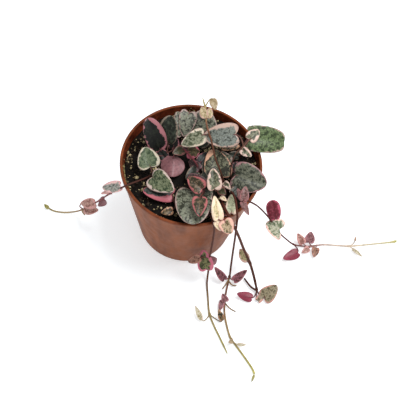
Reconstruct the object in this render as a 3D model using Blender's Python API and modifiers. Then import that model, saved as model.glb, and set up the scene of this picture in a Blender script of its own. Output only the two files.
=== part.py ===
"""A variegated string of hearts in a four inch nursery pot, one object for each leafy stem.

Metres, +Z up. The origin is the middle of the pot's flat bottom, and the front of the pot faces -Y.
Run it with: blender --background --python part.py
"""

import math
from typing import NamedTuple

import bmesh
import bpy
import numpy as np
from mathutils import Vector, noise

MM = 0.001

# The pot: a thin moulded cone with a plain lip and drain holes in a flat floor
POT_HEIGHT = 86.0
POT_TOP_RADIUS = 50.0
POT_BASE_RADIUS = 36.0
POT_WALL = 1.6
POT_FLOOR = 2.0
LIP_HEIGHT = 3.2
LIP_STEP = 0.7
POT_SIDES = 52
DRAIN_COUNT = 6
DRAIN_RADIUS = 3.5
DRAIN_RING = 23.0

# The soil: a rough cake of peat that fills the pot to a little under the lip
SOIL_LEVEL = 78.0
SOIL_MOUND = 1.2
SOIL_ROUGHNESS = 0.7
SOIL_CRUMB = 7.0
SOIL_SIDES = 32
SOIL_RINGS = 6
CLEARANCE = 0.3
ROOT_DEPTH = 9.0

# The plant
STEM_RADIUS = 0.62
STALK_RADIUS = 0.45
LONG_STALK = 12.0
STEM_STEP = 8.0
BLADE_THICKNESS = 1.0
BROAD_BLADE = 9.0

# The viewpoint that the plant is set out from. Stems and leaves are placed by the column and row
# at which they are seen in a square picture, and by their height over the table in millimetres.
SIGHT_ELEVATION = math.radians(60.9)
SIGHT_ROLL = math.radians(9.1)
SIGHT_DISTANCE = 559.0
SIGHT_FOCUS = 800.0
PICTURE_MIDDLE = 208.0
RIM_COLUMN = 191.6
RIM_ROW = 162.4

# The plan of a blade: how far its lobes reach back, and how long its drawn-out tip is, as shares
# of its length. Young blades have no lobes yet.
CUTS = {
    "round": (0.38, 0.08),
    "broad": (0.38, 0.0),
    "oval": (0.15, 0.0),
    "heart": (0.32, 0.10),
    "winged": (0.70, 0.05),
    "slim": (0.30, 0.12),
    "young": (0.05, 0.15),
}


class Leaf(NamedTuple):
    """One heart-shaped blade and its stalk. base and tip are (column, row, height)."""

    at: float  # where the stalk springs: an index into the stem's route, or a share between two
    base: tuple
    tip: tuple
    width: float
    cut: str
    roll: float = 0.0  # degrees about the midrib, away from facing the viewer
    fold: float = 14.0  # degrees that each half is raised from flat
    cup: float = -20.0  # degrees that each half turns from the midrib to its margin
    droop: float = 25.0  # degrees that the midrib turns down from base to tip
    taper: float = 0.3  # share of its width that the blade loses towards its tip
    full: float = 1.0  # under 1 fills out the shoulders, towards a rectangle


class Vine(NamedTuple):
    """One stem with its leaves. Each point of a route is (column, row, height)."""

    name: str
    route: list
    leaves: list
    shoots: tuple = ()  # bare side shoots, each a route that starts on the stem
    radius: float = STEM_RADIUS
    bud: bool = False  # whether the stem ends in a swollen bud


VINES = [
    Vine(
        "left_trail",
        [(150, 176, 80.5), (143.5, 179, 86), (134, 182.5, 89), (127.2, 185, 89), (119, 189, 82),
         (110, 193.5, 66), (101.5, 199, 50), (96, 202.4, 39), (88, 206.5, 24), (80, 210.4, 9),
         (72, 212, 2.5), (62, 212.2, 1), (53, 210.5, 1), (47.3, 207, 1.6)],
        [Leaf(4.2, (120, 185.5, 85), (102.5, 188, 80), 9, "round", roll=20, taper=0.15),
         Leaf(5, (112, 193, 64), (101, 193.5, 60), 6, "slim", roll=-60),
         Leaf(6.3, (104.5, 199.5, 46), (98, 206, 40), 7.5, "slim", roll=160),
         Leaf(7.3, (95, 203, 38), (80.8, 203.4, 32), 9.2, "slim", roll=20),
         Leaf(7.7, (84.5, 209.3, 20), (98.4, 210, 24), 8.8, "slim", roll=-10),
         Leaf(8.8, (82.5, 209, 14), (84.8, 215.5, 11), 2.6, "young"),
         Leaf(12.7, (49.2, 208.6, 2.2), (44.1, 204.1, 2.8), 3.6, "young", fold=30)],
        shoots=([(83, 209, 14), (79.8, 206.5, 18), (81.5, 202.5, 22)],),
    ),
    Vine(
        "west_leaves",
        [(156, 177, 80.5), (154.5, 175.5, 84), (152.5, 173.5, 87)],
        [Leaf(2, (150.3, 166.8, 89.5), (144.5, 147.3, 93.5), 17, "heart"),
         Leaf(1.5, (152.5, 177, 88), (173.8, 190.8, 91), 17, "heart")],
    ),
    Vine(
        "south_west_leaves",
        [(176.5, 207, 80.5), (175, 203, 83.5), (173, 199, 85)],
        [Leaf(2, (171.5, 194.5, 83.2), (143, 190.5, 82.8), 13.5, "round", roll=-18, fold=10,
              taper=0.15),
         Leaf(0.9, (172.3, 210.5, 84.5), (161, 212.8, 84.5), 6.2, "heart")],
    ),
    Vine(
        "north_west_leaves",
        [(168, 158, 80.5), (167.5, 155, 84), (167, 152, 87)],
        [Leaf(1.4, (160, 150, 86), (147.2, 118, 104), 15.5, "oval", roll=-12, fold=20,
              taper=0.05),
         Leaf(2, (168, 143, 89), (170.8, 115.5, 102), 15, "oval", roll=15, fold=20, taper=0.1),
         Leaf(1.8, (174, 147, 86), (171.5, 131.5, 92), 9, "round"),
         Leaf(0.8, (165, 158, 84), (156.5, 147.5, 84.5), 8.5, "round"),
         Leaf(0.9, (154, 153, 86.5), (147.5, 140.5, 91), 5.5, "slim", roll=180)],
    ),
    Vine(
        "north_leaves",
        [(195, 147, 80.5), (194.5, 144, 84), (193.5, 141, 87.5)],
        [Leaf(1.5, (182.5, 134.5, 92), (177.3, 111.5, 99), 12.5, "round", roll=-15),
         Leaf(2, (189, 113, 99), (183.5, 136.5, 92), 14, "round", roll=10, droop=10),
         Leaf(1.8, (204.5, 134, 88), (202, 110, 96), 20, "broad", taper=0.15)],
    ),
    Vine(
        "pink_sprig",
        [(199.5, 172, 80.5), (198, 167, 85), (194, 160.5, 88.5), (189, 154.5, 91),
         (184.5, 150, 92.5)],
        [Leaf(3, (188, 151, 92), (199.5, 152, 90), 12, "slim", roll=-20),
         Leaf(4, (183, 149.5, 93), (172.5, 153.5, 95), 8, "slim"),
         Leaf(3.4, (173, 156.5, 89), (171.5, 177, 84), 19, "oval", roll=180, fold=30, cup=-12,
              droop=10, taper=0.1, full=1.25),
         Leaf(1, (199, 169.5, 84.5), (189, 160.5, 84), 8, "slim")],
    ),
    Vine(
        "top_vine",
        [(224.8, 186, 80.5), (224, 182.5, 87), (221.6, 175, 94), (219.2, 168, 98.5),
         (216.2, 161.2, 101), (213.9, 152, 105), (211, 139.4, 110), (208.7, 132.5, 112),
         (206.4, 123.3, 113), (206, 117, 112.5), (205.5, 109, 112), (202.8, 98, 112)],
        [Leaf(0.7, (220, 176.5, 85), (212, 149.5, 88), 21, "round"),
         Leaf(0.3, (209, 173, 83), (206, 157, 83.5), 10, "round"),
         Leaf(6.2, (203.5, 134.5, 108), (181.5, 145, 101), 12.5, "heart", roll=10),
         Leaf(8.8, (205, 118.5, 113.5), (202, 106.5, 116), 6.5, "young"),
         Leaf(9, (208, 118.5, 113.5), (210.5, 107.5, 115), 6, "young"),
         Leaf(10.2, (212.5, 98.5, 114), (215.5, 110, 112), 6, "young", taper=0.1)],
    ),
    Vine(
        "right_sprig",
        [(230.7, 181, 80.5), (230.7, 176.5, 87), (230.8, 169, 93), (232.5, 161, 98),
         (236, 153, 102), (241.5, 148, 104), (243.3, 146.5, 104.5)],
        [Leaf(6, (235.5, 134.5, 104), (203.5, 136.5, 99), 18, "round", roll=10, taper=0.2),
         Leaf(6, (249.5, 139.5, 106), (258.5, 129.8, 107), 9.5, "heart"),
         Leaf(5.6, (241.5, 149.5, 103), (251.5, 156.3, 99), 6.5, "heart")],
        radius=0.45,
    ),
    Vine(
        "east_leaves",
        [(240, 157, 80.5), (241.5, 154, 85), (243.5, 151, 89)],
        [Leaf(2, (250, 138, 94), (284.3, 142, 88), 19, "round", taper=-0.05, full=0.5),
         Leaf(1, (237.5, 144, 87), (221.5, 149.7, 86), 7, "heart")],
    ),
    Vine(
        "south_east_leaves",
        [(234, 186, 80.5), (233.5, 183, 85), (233.5, 180, 88)],
        [Leaf(2, (236, 175, 91), (266.5, 184.5, 88), 22, "round", taper=0.2)],
    ),
    Vine(
        "centre_sprig",
        [(218.5, 195.5, 80.5), (218, 193, 87), (216.5, 191, 94)],
        [Leaf(2, (214.7, 189, 98), (213.2, 168.5, 102), 11, "heart"),
         Leaf(1.4, (219.5, 189, 92), (225.5, 195, 92), 6.5, "slim"),
         Leaf(1, (221, 196.5, 90), (226.8, 201, 90), 3.5, "heart"),
         Leaf(0.8, (224.5, 182.5, 90), (230.5, 189.5, 90), 5, "heart")],
    ),
    Vine(
        "south_leaves",
        [(201, 204, 80.5), (201, 201, 85), (201.5, 197, 90), (202, 194.5, 94)],
        [Leaf(1, (194, 192, 87.5), (192.5, 224.3, 90.5), 26, "broad", taper=0.1, full=0.85),
         Leaf(3, (202.3, 189, 95.3), (188, 177.5, 96), 12, "slim", fold=20),
         Leaf(3, (200, 198, 97), (199.2, 216.5, 97), 11.3, "slim"),
         Leaf(2, (204, 187, 91.5), (188.5, 174.5, 92.5), 11, "round"),
         Leaf(1.5, (205.5, 191, 88), (204, 172, 87.4), 9, "round")],
    ),
    Vine(
        "cream_sprig",
        [(217, 208, 80.5), (217.5, 211.5, 86), (218, 215.5, 90), (218.5, 218.5, 91.5)],
        [Leaf(2.6, (218.5, 218.8, 94), (214.3, 195.8, 97), 8.8, "heart", taper=0.45),
         Leaf(1.6, (231.3, 213, 87.5), (231.8, 194, 86), 8.6, "heart"),
         Leaf(3, (224.5, 220.5, 92), (230.5, 233.8, 85), 11, "heart", droop=45),
         Leaf(2.8, (216, 221.5, 91.5), (221, 230.8, 87), 5, "heart")],
    ),
    Vine(
        "front_trail_left",
        [(208, 207, 80.5), (209.5, 212, 86), (211.5, 217, 89.5), (213.2, 222, 89.5),
         (214.2, 229, 81), (213.5, 236, 69), (212, 245, 53), (210.6, 252, 39), (209.2, 261, 22),
         (208.4, 270, 8), (207, 283, 1.7), (207.8, 296, 1), (209.3, 313, 1), (213.7, 325, 1),
         (219, 336, 1), (227.4, 353.5, 1)],
        [Leaf(8.2, (206.5, 269.5, 22), (203, 249.8, 32), 12.5, "slim", taper=0.2),
         Leaf(8, (210.5, 262, 24), (217, 258.5, 26), 9, "slim", roll=150),
         Leaf(7.8, (200, 257.5, 30), (188.3, 262, 24), 7, "slim"),
         Leaf(12.1, (202, 320.5, 2.5), (195.2, 305.5, 6), 4.5, "young"),
         Leaf(12.1, (222.3, 320.8, 3.5), (218.5, 309, 8), 5, "young")],
        radius=0.72,
    ),
    Vine(
        "front_trail_middle",
        [(229, 190, 80.5), (231, 191.5, 88), (233.5, 195, 94), (235.7, 201, 96),
         (236.9, 211.7, 95), (237.4, 218, 92), (236.3, 227.8, 84.2), (235, 238, 65.2),
         (233.2, 250, 45), (231.2, 264, 23), (229.8, 275, 6), (228, 283, 1.8),
         (225.4, 296.3, 1), (224.4, 309.6, 1), (225.9, 321.8, 1), (230, 337, 1),
         (235, 344.3, 1), (243.3, 355.5, 1), (250.4, 365.7, 1), (253.3, 370.8, 1.2),
         (254.4, 374.3, 1.5)],
        [Leaf(10.2, (224.4, 279.5, 6), (214.7, 267, 12), 6.5, "slim"),
         Leaf(10.2, (233.8, 280.5, 6), (247, 270, 12), 7, "slim"),
         Leaf(12.2, (222.5, 301, 3), (219.3, 311, 2.3), 5, "slim"),
         Leaf(12.2, (226, 301.5, 4), (222.3, 293.5, 8), 6, "slim"),
         Leaf(15, (233, 340.5, 3), (228.3, 342.5, 5), 4, "young"),
         Leaf(15.4, (237, 344.3, 3), (246.4, 344.8, 4), 3, "young"),
         Leaf(19.6, (254.2, 374.8, 1.6), (251.6, 382, 1.6), 2, "young")],
        shoots=([(229, 279, 3), (226, 284, 3), (222.5, 289, 3)],
                [(224.8, 303, 1.3), (230, 308.5, 2.2), (235.5, 311.7, 3)],
                [(228.6, 281, 2.5), (232, 285, 2), (236.5, 285.8, 2)]),
        radius=0.74,
    ),
    Vine(
        "front_trail_right",
        [(221, 200, 80.5), (222.5, 204, 88), (225, 209, 93), (228.2, 214.8, 93.5),
         (231.3, 221, 89.5), (235.4, 229.1, 76.5), (239.4, 238, 62), (243.4, 248.3, 46),
         (249.4, 261.6, 26), (253.5, 275, 11), (257, 290.5, 2)],
        [Leaf(8.1, (247.5, 262, 22), (240, 249, 18), 8, "young"),
         Leaf(9.9, (251.5, 298, 3), (237, 293.5, 6), 8, "slim", roll=170),
         Leaf(10, (264, 297.5, 3), (277, 285.5, 8), 13.5, "round"),
         Leaf(9.95, (258, 300.5, 2.5), (264.5, 292, 3), 6, "round")],
        shoots=([(256.5, 290.5, 3), (250.5, 286.5, 2.5), (244.2, 278.3, 2)],),
        radius=1.02,
    ),
    Vine(
        "right_trail",
        [(237, 192, 80.5), (240, 195, 88), (243.5, 199, 92.5), (248, 201, 92.5),
         (256.3, 205.2, 84), (264, 212.2, 68), (271, 220.5, 51), (279.6, 232.8, 28),
         (286, 239, 16), (293.1, 244.2, 6), (300, 245.8, 2), (309.4, 246.4, 1),
         (318, 245.1, 1.2), (326.7, 244.7, 1), (347.3, 246, 1), (359.3, 245.3, 1),
         (375.5, 243.7, 1), (391.8, 242, 1.35), (397, 240.8, 1.9)],
        [Leaf(2, (243.5, 200.5, 95), (245.6, 186.5, 98), 7, "slim"),
         Leaf(2.2, (242.5, 202, 94), (248.8, 215.2, 92), 5, "slim"),
         Leaf(2, (241.5, 199, 94), (237.5, 188.5, 95), 4.5, "slim"),
         Leaf(5.9, (275, 219.5, 54), (272.5, 200, 62), 10, "oval", roll=15, taper=-0.3),
         Leaf(6.5, (279.5, 229.5, 42), (265.6, 223.8, 49), 17, "winged", roll=-10),
         Leaf(9, (298, 252.5, 4), (283.2, 258.8, 3.5), 9, "slim", roll=175),
         Leaf(11, (303, 243.5, 4), (297.5, 233.3, 8), 7, "slim"),
         Leaf(11.4, (309, 242.5, 4), (311, 231.5, 9), 9, "slim"),
         Leaf(11.8, (316, 248, 3), (313.8, 257.3, 3), 7, "slim"),
         Leaf(11.2, (308.6, 248.2, 2.6), (301.8, 252.8, 2.2), 5.6, "slim"),
         Leaf(14, (355, 241.3, 2.5), (355.6, 236.5, 4), 2, "young"),
         Leaf(14.1, (352, 248.2, 2), (362.4, 256.9, 2.4), 3.4, "young")],
        bud=True,
    ),
]


def seen_at(column, row, height):
    """The point, in millimetres, at that height on the line of sight through that column and row."""
    forward = np.array([0.0, math.cos(SIGHT_ELEVATION), -math.sin(SIGHT_ELEVATION)])
    level = np.array([1.0, 0.0, 0.0])
    upright = np.cross(level, forward)
    right = math.cos(SIGHT_ROLL) * level + math.sin(SIGHT_ROLL) * upright
    up = math.cos(SIGHT_ROLL) * upright - math.sin(SIGHT_ROLL) * level
    scale = SIGHT_DISTANCE / SIGHT_FOCUS
    rim = np.array([0.0, 0.0, POT_HEIGHT])
    eye = (rim - SIGHT_DISTANCE * forward - (RIM_COLUMN - PICTURE_MIDDLE) * scale * right
           + (RIM_ROW - PICTURE_MIDDLE) * scale * up)
    ray = (forward + (column - PICTURE_MIDDLE) / SIGHT_FOCUS * right
           - (row - PICTURE_MIDDLE) / SIGHT_FOCUS * up)
    return eye + ray * (height - eye[2]) / ray[2]


def smooth_route(points, at):
    """The points at the given indices on a Catmull-Rom curve through a route's points."""
    padded = np.vstack([2 * points[0] - points[1], points, 2 * points[-1] - points[-2]])
    span = np.clip(np.floor(at).astype(int), 0, len(points) - 2)
    t = (at - span)[:, None]
    before, start, end, after = (padded[span + i] for i in range(4))
    return 0.5 * (2 * start + (end - before) * t
                  + (2 * before - 5 * start + 4 * end - after) * t**2
                  + (3 * start - before - 3 * end + after) * t**3)


def stem_points(route, step=STEM_STEP):
    """A stem's points, close enough together to look smooth."""
    points = np.array([seen_at(*p) for p in route])
    at = [0.0]
    for i, length in enumerate(np.linalg.norm(np.diff(points, axis=0), axis=1)):
        pieces = max(1, round(length / step))
        at += [i + (k + 1) / pieces for k in range(pieces)]
    return smooth_route(points, np.array(at))


def blade_frame(leaf):
    """The base of a blade, its chord's length, and its lengthwise, sideways and upper directions."""
    base, tip = seen_at(*leaf.base), seen_at(*leaf.tip)
    length = np.linalg.norm(tip - base)
    along = (tip - base) / length
    toward = np.array([0.0, -math.cos(SIGHT_ELEVATION), math.sin(SIGHT_ELEVATION)])
    facing = toward - (toward @ along) * along
    facing /= np.linalg.norm(facing)
    across = np.cross(facing, along)
    roll = math.radians(leaf.roll)
    upper = math.cos(roll) * facing + math.sin(roll) * across
    return base, length, along, np.cross(upper, along), upper


def blade_points(leaf, u, v):
    """Points of a blade, for u from 0 at its base to 1 at its tip and v from -1 to 1 across it.

    The midrib is an arc that turns by droop. Each half leaves it at the fold's angle and turns by
    cup on the way to the margin. The margin is a heart: a half wave wide, drawn back to lobes
    beside the base, and drawn out to a point at the tip.
    """
    base, chord, along, across, upper = blade_frame(leaf)
    lobe, point = CUTS[leaf.cut]
    turn = math.radians(leaf.droop)
    radius = chord / (2 * math.sin(turn / 2))
    wave, reach = np.sin(np.pi * u), (1 - np.cos(np.pi * u)) / 2
    share = (reach - lobe * wave * (1 - reach) * np.abs(v) ** 1.6 + point * reach**10) / (1 + point)
    out = np.abs(v) * leaf.width / 2 * wave**leaf.full * (1 - leaf.taper * reach**2)
    angle = (share - 0.5) * turn
    fold, bend = math.radians(leaf.fold), math.radians(leaf.cup) / (leaf.width / 2)
    side = np.sign(v) * (np.sin(fold + bend * out) - math.sin(fold)) / bend
    rise = (math.cos(fold) - np.cos(fold + bend * out)) / bend
    forward = radius * (np.sin(angle) + math.sin(turn / 2)) + rise * np.sin(angle)
    height = radius * (np.cos(angle) - math.cos(turn / 2)) + rise * np.cos(angle)
    return (base + forward[..., None] * along + side[..., None] * across
            + height[..., None] * upper)


def stalk_points(leaf, start):
    """A stalk's points: a bow that leaves the stem at start and runs into the blade's midrib."""
    base, chord, along, _, upper = blade_frame(leaf)
    pieces = 3 if np.linalg.norm(base - start) > LONG_STALK else 2
    turn = math.radians(leaf.droop) / 2
    midrib = math.cos(turn) * along + math.sin(turn) * upper
    end = base + min(1.2, 0.25 * chord) * midrib
    bend = base - 0.4 * np.linalg.norm(base - start) * midrib
    t = np.linspace(0.0, 1.0, pieces + 1)[:, None]
    return (1 - t) ** 2 * start + 2 * t * (1 - t) * bend + t**2 * end


def clear_scene():
    for obj in list(bpy.data.objects):
        bpy.data.objects.remove(obj, do_unlink=True)


def new_collection(name, hidden=False):
    collection = bpy.data.collections.new(name)
    bpy.context.scene.collection.children.link(collection)
    collection.hide_render = hidden
    return collection


def plastic(name, color, roughness):
    """A plain material. Returns it."""
    material = bpy.data.materials.new(name)
    material.use_nodes = True
    shader = material.node_tree.nodes["Principled BSDF"]
    shader.inputs["Base Color"].default_value = (*color, 1.0)
    shader.inputs["Roughness"].default_value = roughness
    shader.inputs["Metallic"].default_value = 0.0
    return material


def put(name, mesh, collection):
    obj = bpy.data.objects.new(name, mesh)
    collection.objects.link(obj)
    return obj


def tube(name, points, radii, collection, sides=1):
    """A closed tube along points. sides is the curve's bevel resolution: 1 gives six sides."""
    curve = bpy.data.curves.new(name, "CURVE")
    curve.dimensions = "3D"
    curve.bevel_depth = MM
    curve.bevel_resolution = sides
    curve.use_fill_caps = True
    spline = curve.splines.new("POLY")
    spline.points.add(len(points) - 1)
    for point, place, radius in zip(spline.points, points, radii):
        point.co = (*(place * MM), 1.0)
        point.radius = radius
    draft = put(name, curve, collection)
    bpy.context.view_layer.update()
    evaluated = draft.evaluated_get(bpy.context.evaluated_depsgraph_get())
    mesh = bpy.data.meshes.new_from_object(evaluated)
    bpy.data.objects.remove(draft, do_unlink=True)
    bm = bmesh.new()
    bm.from_mesh(mesh)
    bmesh.ops.remove_doubles(bm, verts=bm.verts, dist=0.00001)
    bmesh.ops.recalc_face_normals(bm, faces=bm.faces)
    bm.to_mesh(mesh)
    bm.free()
    return put(name, mesh, collection)


def blade(name, leaf, collection):
    """A closed blade of even thickness: a grid bent into the heart, then made solid."""
    broad = leaf.width >= BROAD_BLADE
    bm = bmesh.new()
    bmesh.ops.create_grid(bm, x_segments=6 if broad else 5, y_segments=4 if broad else 2, size=1.0)
    flat = np.array([vert.co for vert in bm.verts])
    bent = blade_points(leaf, (flat[:, 0] + 1) / 2, flat[:, 1]) * MM
    for vert, place in zip(bm.verts, bent):
        vert.co = place
    bmesh.ops.remove_doubles(bm, verts=bm.verts, dist=0.00001)
    bmesh.ops.triangulate(bm, faces=bm.faces)
    mesh = bpy.data.meshes.new(name)
    bm.to_mesh(mesh)
    bm.free()
    obj = put(name, mesh, collection)
    solid = obj.modifiers.new("Thickness", "SOLIDIFY")
    solid.thickness = BLADE_THICKNESS * MM
    solid.offset = 0.0
    solid.use_even_offset = False
    return bake(obj)


def bake(obj):
    """Replace an object's mesh with what its modifiers make of it. Returns the object."""
    bpy.context.view_layer.update()
    evaluated = obj.evaluated_get(bpy.context.evaluated_depsgraph_get())
    mesh = bpy.data.meshes.new_from_object(evaluated)
    obj.modifiers.clear()
    obj.data = mesh
    return obj


def boolean(obj, others, operation, solver="EXACT"):
    """Join or cut an object with every object of a collection, which is then emptied."""
    change = obj.modifiers.new(operation.title(), "BOOLEAN")
    change.operation = operation
    change.operand_type = "COLLECTION"
    change.collection = others
    change.solver = solver
    bake(obj)
    for other in list(others.objects):
        bpy.data.objects.remove(other, do_unlink=True)


def tidy(obj):
    """Weld points that a cut left closer than can be printed, and smooth no face."""
    bm = bmesh.new()
    bm.from_mesh(obj.data)
    bmesh.ops.triangulate(bm, faces=bm.faces)
    bmesh.ops.dissolve_degenerate(bm, edges=bm.edges, dist=0.00001)
    bmesh.ops.triangulate(bm, faces=bm.faces)
    bmesh.ops.recalc_face_normals(bm, faces=bm.faces)
    bm.to_mesh(obj.data)
    bm.free()


def spin(name, profile, sides, collection):
    """A solid of revolution about Z from a closed or axis-to-axis profile of (radius, height)."""
    mesh = bpy.data.meshes.new(name)
    points = [(radius * MM, 0.0, height * MM) for radius, height in profile]
    mesh.from_pydata(points, [(i, i + 1) for i in range(len(points) - 1)], [])
    obj = put(name, mesh, collection)
    screw = obj.modifiers.new("Spin", "SCREW")
    screw.steps = sides
    screw.render_steps = sides
    screw.use_merge_vertices = True
    screw.merge_threshold = 0.00001
    screw.use_smooth_shade = False
    bake(obj)
    bm = bmesh.new()
    bm.from_mesh(obj.data)
    bmesh.ops.remove_doubles(bm, verts=bm.verts, dist=0.00001)
    bmesh.ops.dissolve_degenerate(bm, edges=bm.edges, dist=0.00001)
    bmesh.ops.recalc_face_normals(bm, faces=bm.faces)
    bm.to_mesh(obj.data)
    bm.free()
    return obj


def wall_radius(height):
    """The outer radius of the pot's plain wall at a height."""
    slope = (POT_TOP_RADIUS - LIP_STEP - POT_BASE_RADIUS) / (POT_HEIGHT - LIP_HEIGHT)
    return POT_BASE_RADIUS + slope * height


def build_pot(collection, cutters):
    """The pot: a cone with a plain lip, rounded edges and drain holes through a flat floor."""
    lip_foot = POT_HEIGHT - LIP_HEIGHT
    inner_top = POT_TOP_RADIUS - POT_WALL - 0.3
    profile = [
        (0.0, 0.0),
        (POT_BASE_RADIUS - 1.0, 0.0),
        (wall_radius(1.0), 1.0),
        (wall_radius(lip_foot), lip_foot),
        (POT_TOP_RADIUS, lip_foot + 0.5),
        (POT_TOP_RADIUS, POT_HEIGHT - 0.6),
        (POT_TOP_RADIUS - 0.6, POT_HEIGHT),
        (inner_top + 0.5, POT_HEIGHT),
        (inner_top, POT_HEIGHT - 0.6),
        (wall_radius(POT_FLOOR + 2.0) - POT_WALL, POT_FLOOR + 2.0),
        (wall_radius(POT_FLOOR) - POT_WALL - 1.8, POT_FLOOR),
        (0.0, POT_FLOOR),
    ]
    pot = spin("pot", profile, POT_SIDES, collection)
    for i in range(DRAIN_COUNT):
        turn = 2 * math.pi * (i + 0.5) / DRAIN_COUNT
        centre = (DRAIN_RING * math.cos(turn), DRAIN_RING * math.sin(turn))
        drill(f"drain_{i}", centre, -1.0, POT_FLOOR + 1.0, DRAIN_RADIUS, 14, cutters)
    boolean(pot, cutters, "DIFFERENCE")
    tidy(pot)
    return pot


def drill(name, centre, low, high, radius, sides, cutters):
    """An upright cylinder between two heights, to cut a hole with."""
    mesh = bpy.data.meshes.new(name)
    bm = bmesh.new()
    bmesh.ops.create_cone(bm, cap_ends=True, segments=sides, radius1=radius * MM,
                          radius2=radius * MM, depth=(high - low) * MM)
    bmesh.ops.translate(bm, verts=bm.verts,
                        vec=(centre[0] * MM, centre[1] * MM, (low + high) / 2 * MM))
    bm.to_mesh(mesh)
    bm.free()
    put(name, mesh, cutters).display_type = "WIRE"


def root_of(vine):
    """Where a vine's stem leaves the soil, and the radius of its root."""
    return seen_at(*vine.route[0]), vine.radius


def build_soil(collection, cutters):
    """The soil: a cake that follows the pot's wall, with a rough top and a hole for each root."""
    low = POT_FLOOR + CLEARANCE
    foot = wall_radius(POT_FLOOR + 2.0) - POT_WALL - CLEARANCE
    edge = wall_radius(SOIL_LEVEL) - POT_WALL - CLEARANCE - 0.2
    profile = [(0.0, low), (foot - 2.0, low), (foot, low + 2.0), (edge, SOIL_LEVEL)]
    profile += [(edge * (1 - (i + 1) / SOIL_RINGS), SOIL_LEVEL) for i in range(SOIL_RINGS)]
    soil = spin("soil", profile, SOIL_SIDES, collection)
    for vert in soil.data.vertices:
        x, y, z = vert.co / MM
        if z < SOIL_LEVEL - 1.0:
            continue
        share = math.hypot(x, y) / edge
        bump = noise.noise(Vector((x, y, 0.0)) / SOIL_CRUMB)
        vert.co.z += (SOIL_MOUND * (1 - share**2) + SOIL_ROUGHNESS * bump) * MM
    for vine in VINES:
        root, radius = root_of(vine)
        drill(f"hole_{vine.name}", root[:2], SOIL_LEVEL - ROOT_DEPTH - CLEARANCE, SOIL_LEVEL + 6.0,
              radius + CLEARANCE + 0.1, 8, cutters)
    boolean(soil, cutters, "DIFFERENCE")
    tidy(soil)
    return soil


def build_vine(vine, collection, pieces):
    """One stem from its root to its tip, joined with its shoots, stalks and blades."""
    root, _ = root_of(vine)
    grown = stem_points(vine.route)
    points = np.vstack([(root[0], root[1], SOIL_LEVEL - ROOT_DEPTH), grown])
    radii = np.full(len(points), vine.radius)
    radii[-3:] *= (1.0, 1.8, 0.9) if vine.bud else (0.95, 0.85, 0.7)
    stem = tube(vine.name, points, radii, collection)
    nodes = np.array([seen_at(*p) for p in vine.route])
    thin = STALK_RADIUS * vine.radius / STEM_RADIUS
    for i, shoot in enumerate(vine.shoots):
        points = stem_points(shoot)
        tube(f"{vine.name}_shoot_{i}", points, np.full(len(points), thin), pieces)
    for i, leaf in enumerate(vine.leaves):
        start = smooth_route(nodes, np.array([leaf.at]))[0]
        points = stalk_points(leaf, start)
        tube(f"{vine.name}_stalk_{i}", points, np.full(len(points), STALK_RADIUS), pieces)
        blade(f"{vine.name}_blade_{i}", leaf, pieces)
    boolean(stem, pieces, "UNION")
    tidy(stem)
    return stem


def main():
    clear_scene()
    collection = new_collection("potted_string_of_hearts")
    cutters = new_collection("cutters", hidden=True)
    pieces = new_collection("pieces", hidden=True)
    terracotta = plastic("pot_plastic", (0.31, 0.12, 0.055), 0.45)
    peat = plastic("soil_peat", (0.02, 0.014, 0.01), 0.95)
    foliage = plastic("leaf_grey_green", (0.16, 0.21, 0.13), 0.5)
    build_pot(collection, cutters).data.materials.append(terracotta)
    build_soil(collection, cutters).data.materials.append(peat)
    for vine in VINES:
        build_vine(vine, collection, pieces).data.materials.append(foliage)


if __name__ == "__main__":
    main()
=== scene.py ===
"""The looks of a variegated string of hearts in a four inch nursery pot.

The plant is laid out from one viewpoint: stems and leaves are placed by the column and row at which
they are seen in a square picture, and by their height over the table. Sizes are in millimetres
until a mesh is made.
"""

import logging
import math
from dataclasses import dataclass, field
from enum import Enum

import bpy
import numpy as np
from mathutils import Matrix


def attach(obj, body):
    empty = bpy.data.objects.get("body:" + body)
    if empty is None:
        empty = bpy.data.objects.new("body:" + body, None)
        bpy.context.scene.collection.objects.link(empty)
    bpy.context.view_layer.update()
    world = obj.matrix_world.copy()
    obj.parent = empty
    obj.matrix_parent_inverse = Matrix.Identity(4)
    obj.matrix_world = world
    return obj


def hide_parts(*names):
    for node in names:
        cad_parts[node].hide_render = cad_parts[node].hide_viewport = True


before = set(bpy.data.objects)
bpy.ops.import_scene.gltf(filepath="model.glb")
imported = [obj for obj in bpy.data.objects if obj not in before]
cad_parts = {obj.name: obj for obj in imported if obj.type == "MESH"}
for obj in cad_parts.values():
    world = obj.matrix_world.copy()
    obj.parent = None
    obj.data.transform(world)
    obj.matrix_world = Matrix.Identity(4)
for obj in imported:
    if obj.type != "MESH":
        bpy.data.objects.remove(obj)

LOG = logging.getLogger("string_of_hearts")
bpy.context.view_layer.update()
MM = 0.001  # metres

Place = tuple[float, float, float]  # (column, row, height)


# Plans and colours of leaves

class Cut(Enum):
    """The plan of a blade: how far its lobes reach back, and how long its drawn-out tip is."""

    ROUND = (0.38, 0.08)
    BROAD = (0.38, 0.0)
    OVAL = (0.15, 0.0)
    HEART = (0.32, 0.10)
    WINGED = (0.70, 0.05)
    SLIM = (0.30, 0.12)
    YOUNG = (0.05, 0.15)


@dataclass(frozen=True)
class Tint:
    """The colours of one kind of blade, as sRGB hex values.

    face is the tissue between the veins, marble the silver network along them, margin the band
    round the edge and under the lower face. rim is the band's width in millimetres, and marbling
    the share of the face that the network covers.
    """

    face: str
    marble: str
    margin: str
    under: str
    rim: float
    marbling: float = 0.5


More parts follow.
